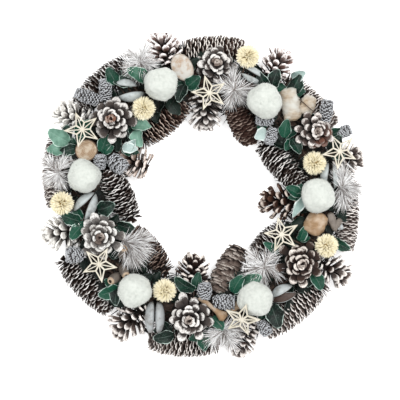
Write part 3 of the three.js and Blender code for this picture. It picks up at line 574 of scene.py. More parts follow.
def spruce_cone(pile, start, end, width, draw, finish=0):
    """Long cone with scales almost square to its axis; those at its base lean back over the core's end."""
    start = start.lerp(end, SPRUCE_INSET)
    axis = end - start
    length = axis.length
    add_cone(
        pile, start, axis, length,
        reach_at=lambda s: 0.56 * width * math.sin(math.pi * (0.13 + 0.78 * s)) ** 0.45,
        tilt_at=lambda s: 78 - 34 * s ** 2.5 + 48 * max(0.0, 1 - s / 0.08),
        width_at=lambda s: 10.5 * math.sin(math.pi * (0.16 + 0.72 * s)) ** 0.6,
        count=int(length * 3.2), thick=0.95, curl=-0.05, cup=0.07, draw=draw, finish=finish,
        phase=draw.uniform(0, TAU), shape=FINE)


def closed_cone(pile, start, end, width, draw, finish=0):
    """Spruce cone that stayed shut: broad scales that lie on each other like tiles."""
    axis = end - start
    length = axis.length
    add_cone(
        pile, start, axis, length,
        reach_at=lambda s: 0.54 * width * math.sin(math.pi * (0.15 + 0.74 * s)) ** 0.45,
        tilt_at=lambda s: 50 - 14 * s + 32 * max(0.0, 1 - s / 0.1),
        width_at=lambda s: 10.5,
        count=int(length * 2.7), thick=1.3, curl=-0.06, cup=-0.1, draw=draw, finish=finish, core=0.62,
        phase=draw.uniform(0, TAU), shape=FINE, unrest=11)


def pine_cone(pile, start, axis, width, length, draw, finish=0):
    """Small open cone with thick scales that spread from its base."""
    add_cone(
        pile, start, axis, length * 0.86,
        reach_at=lambda s: width / 2 * math.sin(math.pi * (0.27 + 0.56 * s)) ** 0.8,
        tilt_at=lambda s: 100 - 64 * s - 22 * s ** 8,
        width_at=lambda s: 0.195 * width * (1 - 0.3 * s),
        count=64, thick=2.6, curl=-0.06, cup=0.12, draw=draw, finish=finish, core=0.18,
        phase=draw.uniform(0, TAU), unrest=13, tip=1.26, dome=0.28)


def rosette_cone(pile, start, axis, width, height, draw, finish=0):
    """Wide open cone that faces the viewer, with its second finish in the middle."""
    add_cone(
        pile, start, axis, height,
        reach_at=lambda s: 0.535 * width * (1 - 0.86 * s ** 1.2),
        tilt_at=lambda s: 80 - 52 * s,
        width_at=lambda s: 0.18 * width * (1 - 0.35 * s),
        count=36, thick=3.2, curl=0.02, cup=-0.1, draw=draw, finish=finish, core=0.2, up=(1, 0, 0),
        phase=draw.uniform(0, TAU), unrest=20, heart=0.82)


def seed_cone(pile, start, axis, length, width, draw, finish=0):
    """Small dense cone."""
    add_cone(
        pile, start, axis, length,
        reach_at=lambda s: width / 2 * math.sin(math.pi * (0.16 + 0.74 * s)) ** 0.55,
        tilt_at=lambda s: 68 - 34 * s - 20 * s ** 8,
        width_at=lambda s: 0.19 * width,
        count=130, thick=1.1, curl=-0.1, cup=0.1, draw=draw, finish=finish, core=0.55,
        phase=draw.uniform(0, TAU), shape=FINE, unrest=9)


print("five kinds of cone: spruce, closed, pine, rosette and seed")

# %% [markdown]
# ## Rods and bristles
#
# Stalks, wires and twigs are straight rods. Moss, cotton fibres, bracts and needles are bristles, which
# taper to a point. A bent bristle has one ring more than a straight one.

# %% Rods and bristles
STRAIGHT_RINGS = ((0.0, 1.0), (0.55, 0.75))
BENT_RINGS = ((0.0, 0.8), (0.35, 1.0), (0.7, 0.7))


def add_rod(pile, start, end, thick, finish=0, sides=6):
    axis = end - start
    add_spindle(pile, basis(start, axis, (0, 0, 1)), axis.length, lambda s: thick / 2, 0.5, finish, sides,
                rows=2)


def add_spike(pile, root, way, length, thick, chance, sides=3, bend=None):
    """Bristle that tapers to a point, bent where that is asked for."""
    frame_of = basis(root, way, (0.3, 0.2, 1))
    rings = STRAIGHT_RINGS if bend is None else BENT_RINGS
    points, along = [], []
    for t, share in rings:
        for k in range(sides):
            turn = TAU * k / sides
            sag = (bend or 0) * length * t * t
            radius = share * thick / 2
            points.append((t * length, radius * math.cos(turn), radius * math.sin(turn) + sag))
            along.append(t)
    points.append((length, 0, (bend or 0) * length))
    along.append(1.0)
    tip, last = len(points) - 1, (len(rings) - 1) * sides
    faces = [list(reversed(face)) for face in grid_faces(len(rings), sides, closed=True)]
    faces += [[last + (k + 1) % sides, last + k, tip] for k in range(sides)]
    faces.append(list(range(sides)))
    pile.add(placed(points, frame_of), faces, along, [0.0] * len(along), chance)


print(f"a straight bristle has {len(STRAIGHT_RINGS)} rings, a bent one {len(BENT_RINGS)}")

# %% [markdown]
# ## Ties to the frame
#
# A piece rides on the frame's body and stands for one solid. Points that would pass the
# frame's box are brought back inside first: at the sides they are eased over the last millimetre and a half,
# and in height they are simply stopped.

# %% Tie a piece to its solid
EASE = 1.5 * MM


def held(value, low, high):
    """Brings a coordinate that comes near a side of the frame's box, or passes it, back inside."""
    middle = (low + high) / 2
    room = (high - low) / 2 - EASE
    over = abs(value - middle) - room
    if over <= 0:
        return value
    return middle + math.copysign(room + EASE * (1 - math.exp(-over / EASE)), value - middle)


def tie(piece, node):
    """Holds the piece inside the frame's box and ties it to the solid that it dresses."""
    low, high = cad_bounds
    for v in piece.data.vertices:
        spot = v.co
        height = min(max(spot.z, low[2]), high[2])
        v.co = (held(spot.x, low[0], high[0]), held(spot.y, low[1], high[1]), height)
    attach(piece, "root")
    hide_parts(node)
    size = piece.dimensions
    print(f"{piece.name}: {len(piece.data.polygons)} faces, "
          f"{size.x / MM:.0f} x {size.y / MM:.0f} x {size.z / MM:.0f} mm")


print(f"the box is {(cad_bounds[1][0] - cad_bounds[0][0]) / MM:.0f} mm wide")

# %% [markdown]
# ## The base ring
#
# The real base is a ring of twisted vine that the trims hide. The frame's ring is simple, so it is dressed
# with strands that wind round its rounded section. Nothing of them goes below the flat underside.

# %% Vine ring
RING_RADIUS, RING_HALF_WIDTH, RING_HALF_HEIGHT = 144, 22.3, 18.4
RING_MIDDLE, RING_FLATNESS = 20, 1.16
STRANDS, STRAND_TURNS, STRAND_STEPS, STRAND_SIDES = 26, 5, 110, 5
STRAND_WIDTHS, STRAND_DEPTH = (2.6, 3.2), 1.6


def ring_point(angle, around):
    """Point on the rounded section of the ring, flattened above and below."""
    across = RING_HALF_WIDTH * math.cos(around)
    above = RING_HALF_HEIGHT * max(-1.0, min(1.0, RING_FLATNESS * math.sin(around)))
    radius = RING_RADIUS + across
    return on_plan((radius * math.cos(angle), radius * math.sin(angle)), RING_MIDDLE + above)


def vine_ring():
    draw = random.Random(3)
    pile = Pile()
    for strand in range(STRANDS):
        begin = TAU * strand / STRANDS
        thick = draw.uniform(*STRAND_WIDTHS)
        points, along = [], []
        for step in range(STRAND_STEPS):
            angle = TAU * step / STRAND_STEPS
            around = begin + angle * STRAND_TURNS
            centre = ring_point(angle, around)
            middle = on_plan((RING_RADIUS * math.cos(angle), RING_RADIUS * math.sin(angle)), RING_MIDDLE)
            out = (centre - middle).normalized()
            side = heading(math.degrees(angle) + 90)
            lift = out.cross(side).normalized()
            for k in range(STRAND_SIDES):
                turn = TAU * k / STRAND_SIDES
                depth = min(thick * 0.55, STRAND_DEPTH)
                point = centre + (out * math.cos(turn) * depth + lift * math.sin(turn) * thick)
                point.z = max(point.z, 0.0)
                points.append(point)
                along.append(0.5)
        faces = grid_faces(STRAND_STEPS, STRAND_SIDES, closed=True)
        last = (STRAND_STEPS - 1) * STRAND_SIDES
        faces += [[last + k, last + (k + 1) % STRAND_SIDES, (k + 1) % STRAND_SIDES, k]
                  for k in range(STRAND_SIDES)]
        pile.add(points, faces, along, along, draw.random())
    return pile.make("vine_ring", VINE)


tie(vine_ring(), "ring_base")

# %% [markdown]
# Loose ends of the vine and sprigs of moss stick out between the cones. They are coloured nearly black, as
# the painted shade that one sees in the gaps of the real wreath. Each is one bent bristle, thrown on the ring
# by a seeded draw.

# %% Moss and loose ends
MOSS_INNER, MOSS_OUTER, MOSS_COUNT = 106, 182, 4200


def moss_bed():
    draw = random.Random(11)
    pile = Pile()
    for _ in range(MOSS_COUNT):
        radius = draw.uniform(MOSS_INNER, MOSS_OUTER)
        angle = draw.uniform(0, TAU)
        above_ring = abs(radius - RING_RADIUS) < RING_HALF_WIDTH
        height = draw.uniform(36, 44) if above_ring else draw.uniform(6, 34)
        root = on_plan((radius * math.cos(angle), radius * math.sin(angle)), height)
        way = heading(draw.uniform(0, 360)) + Vector((0, 0, draw.uniform(-0.1, 0.35)))
        add_spike(pile, root, way, draw.uniform(7, 17), draw.uniform(1.0, 2.2), draw.random(),
                  bend=draw.uniform(-0.3, 0.2))
    return pile.make("moss_bed", SHADE_MOSS)


moss = moss_bed()
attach(moss, "root")
print(f"{moss.name}: {len(moss.data.polygons)} faces")

# %% [markdown]
# ## Cones along the rim and round the hole
#
# Long spruce cones lie end to end along the rim and round the hole, with small open pine cones between them.
# Each long cone and its small neighbours are one part of the frame, so they are one piece here too. A wired
# stalk joins them, and a peg goes to the ring.

# %% Where the cones lie
# Small cones: the place of the middle, the width, and the turn away from pointing straight outward.
OUTER_CONES = [
    {"from": (-35, 183), "to": (50, 187), "width": 36, "small": [((-49, 184), 50, 0)],
     "finish": BROWN_SPRUCE, "small finish": WARM_PINE},
    {"from": (104, 147), "to": (164, 90), "width": 34, "small": [((92, 163.5), 47, 0)],
     "finish": FROSTED_SPRUCE, "small finish": WARM_PINE},
    {"from": (182, 29), "to": (182, -67), "width": 31, "small": [((179, 46), 43, 0)],
     "finish": FROSTED_SPRUCE},
    {"from": (154, -110), "to": (80, -170), "width": 40,
     "small": [((163.5, -94), 45, 0), ((50, -178), 46, -26)], "finish": FROSTED_SPRUCE},
    {"from": (20, -188), "to": (-66, -183), "width": 37, "small": [((-92, -157), 52, -22)],
     "finish": FROSTED_SPRUCE, "small finish": OPEN_PINE},
    {"from": (-178, -79), "to": (-118, -142), "width": 38, "small": [((-174, -45.5), 52, 0)],
     "finish": SPRUCE, "small finish": PALE_PINE},
    {"from": (-185, 79), "to": (-187, -12), "width": 34, "small": [], "finish": FROSTED_SPRUCE},
    {"from": (-89, 174), "to": (-156, 116), "width": 38, "small": [((-163, 98), 47, 0)], "finish": SPRUCE,
     "small finish": PALE_PINE},
]
INNER_CONES = [
    {"from": (-79, 70), "to": (-25, 117), "width": 36, "small": [((-92.5, 45), 46, 5)],
     "finish": UMBER_SPRUCE, "small finish": LIGHT_PINE},
    {"from": (37, 118, 40), "to": (61, 70, 22), "width": 34, "small": [((2.5, 109), 49, 180)],
     "finish": BARE_SPRUCE, "small finish": GREY_PINE},
    {"from": (75, 66, 22), "to": (122, 16, 40), "width": 35, "small": [((101.5, -7.5), 54, 180)],
     "finish": SPRUCE, "small finish": BROWN_PINE},
    {"from": (107, -38), "to": (68, -74), "width": 34, "small": [], "finish": SPRUCE},
    {"from": (46, -65), "to": (18, -120, 34), "width": 37, "small": [((-13, -100.5), 50, 180)],
     "finish": CLOSED_SPRUCE, "small finish": DARK_PINE},
    {"from": (-46, -97), "to": (-88, -45), "width": 33, "small": [], "finish": BARE_SPRUCE},
    {"from": (-90, -30, 22), "to": (-121, 31, 40), "width": 36, "small": [], "finish": SPRUCE},
]
CONE_LIFT = 20.5
SMALL_CONE_LENGTH = 40 / 38
STALK_THICKNESS = 4.5
STALK_INSET = 0.16
SMALL_CONE_CLEARANCE = 2.5
print(f"{len(OUTER_CONES)} long cones along the rim, {len(INNER_CONES)} round the hole")


def cone_group(name, cone, draw):
    pile = Pile()
    start, end = on_plan(cone["from"], CONE_LIFT), on_plan(cone["to"], CONE_LIFT)
    build = closed_cone if cone["finish"] == CLOSED_SPRUCE else spruce_cone
    build(pile, start, end, cone["width"], draw)
    for at, width, turn in cone["small"]:
        outward = Matrix.Rotation(math.radians(turn), 3, "Z") @ Vector((at[0], at[1], 0)).normalized()
        length = SMALL_CONE_LENGTH * width
        root = on_plan(at, width / 2 + SMALL_CONE_CLEARANCE) - outward * (length / 2)
        pine_cone(pile, root, outward, width, length, draw, 1)
        centre = on_plan(at, CONE_LIFT)
        near, far = sorted((start, end), key=lambda p: (p - centre).length)
        add_rod(pile, near.lerp(far, STALK_INSET), centre, STALK_THICKNESS)
    middle = (start + end) / 2
    middle.z = CONE_LIFT
    inward = Vector((middle.x - HOLE_X, middle.y - HOLE_Y, 0)).normalized() * RING_RADIUS
    add_rod(pile, middle, on_plan((inward.x, inward.y), CONE_LIFT), STALK_THICKNESS)
    return pile.make(name, cone["finish"], cone.get("small finish", OPEN_PINE))


# %% Make the cone groups
for group, cones, slot in (("outer_cones", OUTER_CONES, "cone"), ("inner_cones", INNER_CONES, "inner_cone")):
    for number, cone in enumerate(cones, 1):
        draw = random.Random(f"{group}{number}")
        tie(cone_group(f"{group}_{number}_scales", cone, draw), f"{group}_{number}")

# %% [markdown]
# ## Rosettes, cotton balls and dried heads
#
# Six wide open cones face the viewer like flowers. Between them sit cotton balls, a little uneven as real
# bolls are, and round dried heads whose bracts stand out on all sides.

# %% Rosettes
# Each rosette: place, width, finish, and the finish of its heart.
ROSETTES = [((-111, 94), 69, SHADED_PINE, WARM_HEART), ((17, 163), 60, SHADED_PINE, CLOSED_SPRUCE),
            ((140, 79), 57, HALF_BARE_PINE, CLOSED_SPRUCE), ((120, -83), 64, DEEP_PINE, CLOSED_SPRUCE),
            ((-16, -151), 67, SHADED_PINE, CLOSED_SPRUCE), ((-125, -50), 68, FROSTED_PINE, CLOSED_SPRUCE)]
ROSETTE_HEIGHT, ROSETTE_LEAN = 27, 0.12
for number, (at, width, finish, heart) in enumerate(ROSETTES, 1):
    draw = random.Random(f"rosette{number}")
    pile = Pile()
    lean = Vector((at[0], at[1], 0)).normalized() * ROSETTE_LEAN + Vector((0, 0, 1))
    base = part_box(f"frosted_rosette_{number}")[0][2] / MM
    rosette_cone(pile, on_plan(at, base), lean, width, ROSETTE_HEIGHT, draw)
    tie(pile.make(f"rosette_{number}", finish, heart), f"frosted_rosette_{number}")

# %% Cotton balls
# Some balls are drawn out to one side: the direction in degrees, and by what share of the radius.
BALL_RADIUS = 21.8
BALL_TAPERS = {2: (-62, 0.16), 3: (120, 0.08), 4: (172, 0.14), 5: (205, 0.07)}
BALL_BASE, BALL_MOST = 0.95, 1.03
FIBRES, FIBRE_LEAN, FIBRE_DEPTH, FIBRE_THICKNESS = 1500, 0.9, 0.5, 0.45


def drawn_vector(draw, most):
    """A vector with each coordinate drawn between -most and most."""
    return Vector([draw.uniform(-most, most) for _ in range(3)])


def lumps(way, away, scale, depth):
    return noise.noise(way * scale + away) * depth


def cotton_ball(number):
    """Fine sphere with lumps and tufts, covered with short fibres that lean at random."""
    draw = random.Random(f"cotton{number}")
    low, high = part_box(f"cotton_ball_{number}")
    centre = (Vector(low) + Vector(high)) / 2 / MM
    bpy.ops.mesh.primitive_ico_sphere_add(subdivisions=5, radius=1)
    ball = bpy.context.object
    away = drawn_vector(draw, 9)
    pile = Pile()
    taper_turn, taper = BALL_TAPERS.get(number, (0, 0.0))
    points = []
    for vertex in ball.data.vertices:
        way = vertex.co.normalized()
        lump = lumps(way, away, 1.3, 0.14)
        tuft = lumps(way, away, 4.5, 0.03) + lumps(way, away, 12, 0.03)
        pull = taper * max(0.0, way.dot(heading(taper_turn))) ** 3
        points.append(centre + way * BALL_RADIUS * (min(BALL_MOST, BALL_BASE + lump + tuft) + pull))
    faces = [list(polygon.vertices) for polygon in ball.data.polygons]
    bpy.data.objects.remove(ball)
    pile.add(points, faces, [0.0] * len(points), [0.0] * len(points), 0.5)
    for _ in range(FIBRES):
        root = points[draw.randrange(len(points))]
        out = (root - centre).normalized()
        lean = drawn_vector(draw, 1) * FIBRE_LEAN
        add_spike(pile, root - out * FIBRE_DEPTH, out + lean, draw.uniform(1.2, 2.4), FIBRE_THICKNESS,
                  draw.random())
    return pile.make(f"cotton_{number}", COTTON, sharp=180)


for number in range(1, 7):
    piece = cotton_ball(number)
    tie(piece, f"cotton_ball_{number}")

# %% Dried heads
HEADS = [(-74, 109), (56, 174), (139, 41), (154, -62), (-48, -118), (-176, -9)]
HEAD_RADIUS, HEAD_HEIGHT, HEAD_CORE = 16, 60, 8
BRACT_COUNT, BRACT_ZONE, BRACT_STRAY, BRACT_THICKNESS = 460, 1.75, 0.14, 2.0
BRACT_ROOT = 0.38
RING_TOP = 40
WIRE_THICKNESS = 2.2


def dried_head(number, at):
    """Round head of bracts on a wire that stands on the ring."""
    draw = random.Random(f"head{number}")
    pile = Pile()
    centre = on_plan(at, HEAD_HEIGHT)
    for i in range(BRACT_COUNT):
        z = 1 - (i + 0.5) / BRACT_COUNT * BRACT_ZONE
        ring = math.sqrt(max(0, 1 - z * z))
        turn = i * GOLDEN_TURN
        out = Vector((ring * math.cos(turn), ring * math.sin(turn), z))
        out += drawn_vector(draw, 1) * BRACT_STRAY
        out.normalize()
        length = HEAD_RADIUS * draw.uniform(0.5, 0.64)
        add_spike(pile, centre + out * HEAD_RADIUS * BRACT_ROOT, out, length, BRACT_THICKNESS,
                  draw.random(), sides=4, bend=draw.uniform(-0.12, 0.12))
    add_spindle(pile, basis(centre - Vector((0, 0, HEAD_CORE)), (0, 0, 1), (1, 0, 0)), 2 * HEAD_CORE,
                lambda s: HEAD_CORE * math.sin(math.pi * (0.1 + 0.8 * s)))
    foot = Vector(at).normalized() * RING_RADIUS
    add_rod(pile, on_plan(foot, RING_TOP), centre, WIRE_THICKNESS, 1)
    return pile.make(f"dried_head_{number}", BRACTS, VINE)


for number, at in enumerate(HEADS, 1):
    tie(dried_head(number, at), f"spiky_head_{number}")

# %% [markdown]
# ## Wooden stars
#
# Each star is cut from thin board: a frame round five points, a spoke to each notch and a thin rib to each
# tip, which leaves ten windows. One tenth of the star is a triangle with a triangular window. It is made by
# moving each side of that triangle inwards by the width of its bar, and repeated round the middle.

# %% Stars
# Each star: place, turn, tilts round its own two axes, and height. The fifth lies high on a cotton ball.
STARS = [((-150, 82.6), 40, (8, 5), 66), ((8, 128), 33, (-6, 4), 66), ((170, 55.5), 47, (4, 10), 66),
         ((98, -48), 32, (-10, -14), 66), ((48, -153), 0, (26, -10), 73.7), ((-129, -85), -10, (5, -6), 66)]
STAR_TIP, STAR_NOTCH, STAR_THICKNESS = 23.4, 10.1, 2.8
FRAME_BAR, SPOKE_BAR, RIB_BAR = 1.55, 0.95, 0.55
WELD_DISTANCE, SOFT_EDGE = 0.02 * MM, 0.2 * MM


def inset(corners, bars):
    """The triangle whose sides lie inside the given one by the width of each bar."""
    centre = sum(corners, Vector((0, 0))) / 3
    lines = []
    for k in range(3):
        a, b = corners[k], corners[(k + 1) % 3]
        normal = Vector((-(b - a).y, (b - a).x)).normalized()
        if (centre - a).dot(normal) < 0:
            normal = -normal
        lines.append((normal, normal.dot(a) + bars[k]))
    inner = []
    for k in range(3):
        (n1, d1), (n2, d2) = lines[k - 1], lines[k]
        cross = n1.x * n2.y - n1.y * n2.x
        inner.append(Vector(((d1 * n2.y - d2 * n1.y) / cross, (n1.x * d2 - n2.x * d1) / cross)))
    return inner


def wooden_star(number, at, turn, tilt, height):
    """Ten triangles with triangular windows, joined round the middle."""
    pile = Pile()
    lie = (Matrix.Translation(on_plan(at, height)) @ Matrix.Rotation(math.radians(tilt[1]), 4, "Y")
           @ Matrix.Rotation(math.radians(tilt[0]), 4, "X") @ Matrix.Rotation(math.radians(turn), 4, "Z"))
    half = STAR_THICKNESS / 2
    for i in range(10):
        radii = (STAR_NOTCH, STAR_TIP) if i % 2 else (STAR_TIP, STAR_NOTCH)
        turns = [TAU * (i + k) / 10 for k in (0, 1)]
        ends = [Vector((math.cos(a), math.sin(a))) * reach for a, reach in zip(turns, radii)]
        outer = [Vector((0, 0)), *ends]
        bars = (SPOKE_BAR, FRAME_BAR, RIB_BAR) if i % 2 else (RIB_BAR, FRAME_BAR, SPOKE_BAR)
        flat = outer + inset(outer, bars)
        points = [(p.x, p.y, half) for p in flat] + [(p.x, p.y, -half) for p in flat]
        faces = []
        for k in range(3):
            n = (k + 1) % 3
            faces += [[k, n, 3 + n, 3 + k], [6 + n, 6 + k, 9 + k, 9 + n], [3 + k, 3 + n, 9 + n, 9 + k]]
        faces.append([2, 1, 7, 8])
        pile.add(placed(points, lie), faces, [0.0] * 12, [0.0] * 12, 0.5)
    star = pile.make(f"star_{number}", STAR_WOOD, sharp=30)
    weld = star.modifiers.new("weld", "WELD")
    weld.merge_threshold = WELD_DISTANCE
    soften = star.modifiers.new("soften", "BEVEL")
    soften.width, soften.segments, soften.limit_method = SOFT_EDGE, 1, "ANGLE"
    return star


def star_wire(number, at, height):
    """Wire that leads from the top of the ring to just under the star."""
    pile = Pile()
    foot = Vector(at).normalized() * RING_RADIUS
    add_rod(pile, on_plan(foot, RING_TOP), on_plan(at, height - 1), WIRE_THICKNESS)
    return pile.make(f"star_wire_{number}", VINE)


for number, (at, turn, tilt, height) in enumerate(STARS, 1):
    tie(wooden_star(number, at, turn, tilt, height), f"wooden_star_{number}")
    wire = star_wire(number, at, height)
    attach(wire, "root")
    print(f"star {number} at {height} mm on {wire.name}")

# %% [markdown]
# ## Leafy stems
#
# A leaf is a thin blade with a folded rib, a waved rim and an arch along its length. Leaves grow on short
# stalks from a hidden stem that lies on the ring, as florists wire them.

# %% Where the leaves lie
# Each leaf: place of its middle, length, width, heading, and its finish: dark, green or pale.
LEAFY_STEMS = [
    [((165, 80), 22, 16, 20, 0), ((166, 66), 26, 19, 60, 0), ((104, 85), 24, 16, 80, 0),
     ((116, 62), 22, 15, -60, 0), ((72, 77), 18, 17, 215, 2), ((115, 141), 28, 19, 60, 0),
     ((120, 152), 19, 15, 20, 2), ((90, 147), 26, 18, 70, 0), ((75, 146), 22, 16, 120, 0)],
    [((-11, 143), 22, 18, 40, 0), ((-27, 128), 24, 17, 250, 0), ((-83, 151), 30, 19, 150, 1),
     ((-100, 141), 26, 17, 175, 0), ((-114, 151), 24, 17, 120, 0), ((-77, 87), 26, 17, 355, 1),
     ((-80, 72), 24, 18, 285, 1)],
    [((-91, 60), 20, 14, 350, 2), ((-88, 64), 17, 11, 60, 2), ((-124, 67), 24, 17, 70, 0),
     ((-181, 75), 30, 22, 150, 1), ((-149, 86), 26, 19, 40, 0), ((-170, 57), 26, 14, 200, 0),
     ((-184, 58), 24, 17, 185, 1)],
    [((-121, -13), 24, 21, 20, 0), ((-166, -27), 26, 18, 160, 0), ((-158, -45), 24, 17, 230, 0),
     ((-96, -38), 24, 17, 350, 0), ((-119, -120), 28, 19, 200, 0), ((-107, -126), 24, 17, 260, 0)],
    [((-50, -176), 26, 17, 190, 0), ((-23, -109), 30, 18, 148, 0), ((0, -183), 24, 17, 280, 0),
     ((19, -160), 22, 16, 310, 0), ((44, -110), 26, 18, 60, 0), ((62, -104), 26, 19, 20, 1),
     ((90, -151), 32, 23, 290, 0)],
    [((142, -107), 26, 19, 300, 0), ((86, -64), 26, 12, 150, 0), ((124, -47), 19, 13, 70, 0),
     ((174, -61), 24, 15, 330, 0), ((121, -14), 33, 13, 235, 2), ((113, 5), 23, 15, 150, 0)],
]
print(f"{sum(len(leaves) for leaves in LEAFY_STEMS)} leaves on {len(LEAFY_STEMS)} stems")

# %% Leaf builder
LEAF_THICKNESS = 0.8
LEAF_ROWS, LEAF_COLUMNS = 9, 7
LEAF_FOLDS, LEAF_ARCHES = (0.1, 0.5), (0.08, 0.2)
RUFFLE, CRUMPLE = 0.08, 1.3


def add_leaf(pile, root, turn, rise, length, width, draw, finish, roll):
    """Closed thin blade: folded along its rib, ruffled at its rim and arched over its length."""
    lie = (Matrix.Translation(root) @ Matrix.Rotation(math.radians(turn), 4, "Z")
           @ Matrix.Rotation(-math.radians(rise), 4, "Y") @ Matrix.Rotation(math.radians(roll), 4, "X"))
    wave, fold, arch = draw.uniform(0, TAU), draw.uniform(*LEAF_FOLDS), draw.uniform(*LEAF_ARCHES)
    tops, bottoms, along, across = [], [], [], []
    for r in range(LEAF_ROWS):
        t = r / (LEAF_ROWS - 1)
        half = width / 2 * max(0.07, math.sin(math.pi * min(1.0, 0.03 + 0.96 * t) ** 0.85)) ** 0.62
        half *= 1 + RUFFLE * math.sin(3 * wave + 14 * t)
        for c in range(LEAF_COLUMNS):
            v = 2 * c / (LEAF_COLUMNS - 1) - 1
            lift = arch * length * math.sin(math.pi * t) + fold * half * v * v
            lift += CRUMPLE * math.sin(wave + 8 * t + 2 * v) * v * v
            tops.append((t * length, half * v, lift + LEAF_THICKNESS / 2))
            bottoms.append((t * length, half * v, lift - LEAF_THICKNESS / 2))
            along.append(t)
            across.append(v)
    size = LEAF_ROWS * LEAF_COLUMNS
    faces = sheet_faces(LEAF_ROWS, LEAF_COLUMNS)
    faces += [[c, c + 1, size + c + 1, size + c] for c in range(LEAF_COLUMNS - 1)]
    pile.add(placed(tops + bottoms, lie), faces, along * 2, across * 2, draw.random(), finish)


print(f"a leaf has {2 * LEAF_ROWS * LEAF_COLUMNS} points")

# %% [markdown]
# The stem of each group is an arc on the ring's top, and a stalk leads from it to each leaf. Under each leaf
# lies a smaller one that points more to the side, so that the foliage looks dense.

# %% Leaves on their stems
LEAF_HEIGHT, LEAF_RISE = 49, 8
LEAF_STEM_RADIUS, STEM_HEIGHT, STEM_THICKNESS = 138, 42.2, 3
LEAF_STALK, STALK_OVERLAP = 1.8, 1.5
STEM_FINISH = 3
COMPANION_SWING, COMPANION_SIZE = -58, 0.74


def stem_point(point, radius):
    """Where a stem of this radius passes nearest to the point."""
    flat = Vector((point.x - HOLE_X, point.y - HOLE_Y, 0)).normalized() * radius
    return on_plan(flat[:2], STEM_HEIGHT)


def add_stem(pile, roots, radius, finish):
    """Arc on the ring's top under where all the pieces of one pick grow."""
    middle = sum(roots, Vector()) / len(roots) - on_plan((0, 0))
    centre = math.atan2(middle.y, middle.x)
    turns = []
    for root in roots:
        turn = math.atan2(root.y - HOLE_Y, root.x - HOLE_X) - centre
        turns.append((turn + math.pi) % TAU - math.pi)
    first, last = min(turns), max(turns)
    steps = max(3, int((last - first) * 12))
    spots = [centre + first + (last - first) * k / steps for k in range(steps + 1)]
    path = [on_plan((radius * math.cos(a), radius * math.sin(a)), STEM_HEIGHT) for a in spots]
    for a, b in zip(path, path[1:]):
        add_rod(pile, a, b + (b - a) * 0.04, STEM_THICKNESS, finish)


for number, leaves in enumerate(LEAFY_STEMS, 1):
    draw = random.Random(f"leaves{number}")
    pile = Pile()
    roots = []
    for at, length, width, turn, kind in leaves:
        root = on_plan(at, LEAF_HEIGHT) - heading(turn) * (length / 2)
        add_leaf(pile, root, turn, LEAF_RISE + draw.uniform(-2, 12), length, width, draw, kind,
                 draw.uniform(-28, 28))
        low_root = root - Vector((0, 0, draw.uniform(2, 6)))
        side = turn + COMPANION_SWING + draw.uniform(-15, 15)
        add_leaf(pile, low_root, side, draw.uniform(-4, 10), length * COMPANION_SIZE,
                 width * COMPANION_SIZE, draw, 0, draw.uniform(-25, 25))
        add_rod(pile, stem_point(root, LEAF_STEM_RADIUS), root + heading(turn) * STALK_OVERLAP, LEAF_STALK,
                STEM_FINISH)
        roots.append(root)
    add_stem(pile, roots, LEAF_STEM_RADIUS, STEM_FINISH)
    tie(pile.make(f"leafy_stem_{number}_leaves", DARK_LEAF, GREEN_LEAF, PALE_LEAF, VINE),
        f"leafy_stem_{number}")

# %% [markdown]
# More leaves are tucked under the cones on both slopes of the ring. They are coloured nearly black as painted
# shade, so from above they are the dark green in the gaps, and from the side they hide the vine.

# %% Tucked leaves
TUCKED_COUNT = 132
TUCKED_RADII = (119, 171, 131, 160)
LEAF_CLEARANCE = 26


def tucked_leaves():
    """Dark leaves on both slopes, but none over a small cone."""
    draw = random.Random(5)
    pile = Pile()
    small = [Vector(at[:2]) for cone in OUTER_CONES + INNER_CONES for at, width, turn in cone["small"]]
    for k in range(TUCKED_COUNT):
        radius = TUCKED_RADII[k % 4] + draw.uniform(-3, 3)
        angle = TAU * (k + draw.uniform(-0.4, 0.4)) / TUCKED_COUNT
        slope = 1 if radius > RING_RADIUS else -1
        turn = math.degrees(angle) + (0 if slope > 0 else 180) + draw.uniform(-70, 70)
        height = draw.uniform(33, 40) if k % 4 < 2 else draw.uniform(40, 44)
        spot = Vector((radius * math.cos(angle), radius * math.sin(angle)))
        if min((spot - at).length for at in small) < LEAF_CLEARANCE:
            continue
        root = on_plan(spot, height)
        length = draw.uniform(17, 25)
        add_leaf(pile, root - heading(turn) * (length * 0.4), turn, draw.uniform(-14, 16), length,
                 length * 0.7, draw, 0, draw.uniform(-30, 30))
    return pile.make("tucked_leaves", SHADE_LEAF)


tucked = tucked_leaves()
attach(tucked, "root")
print(f"{tucked.name}: {len(tucked.data.polygons)} faces")

# %% [markdown]
# ## Trim clusters
#
# Pods, small seed cones, gumnuts and wood share hidden stems, in clusters. A cluster is one piece with ten
# finishes, and each kind of trim picks its own by number.

# %% Finishes of a cluster
TRIM_FINISHES = [SILVER_POD, GREY_SEED, DRIFTWOOD, TAN_WOOD, CUT_BRANCH, GUMNUT, POD_INSIDE, VINE,
                 WEATHERED_POD, BLEACHED_BRANCH]
SILVER, SEED, PALE, TAN, SLICE, NUT, DARK, TWIG, WEATHERED, BLEACHED = range(10)
LUMP_FINISHES = {"tan": TAN, "husk": NUT, "knob": WEATHERED}
print(f"a cluster has {len(TRIM_FINISHES)} finishes")

# %% [markdown]
# A pod has split along its length, so two halves lie side by side, each with a round silvered back and a
# dark flat side. It is a stack of rings whose radius follows the almond outline. An open pod is laid on its
# back like a cup.

# %% Pods
POD_FULLNESS, POD_ARCH, POD_DEPTH = 1.25, 0.1, 0.9


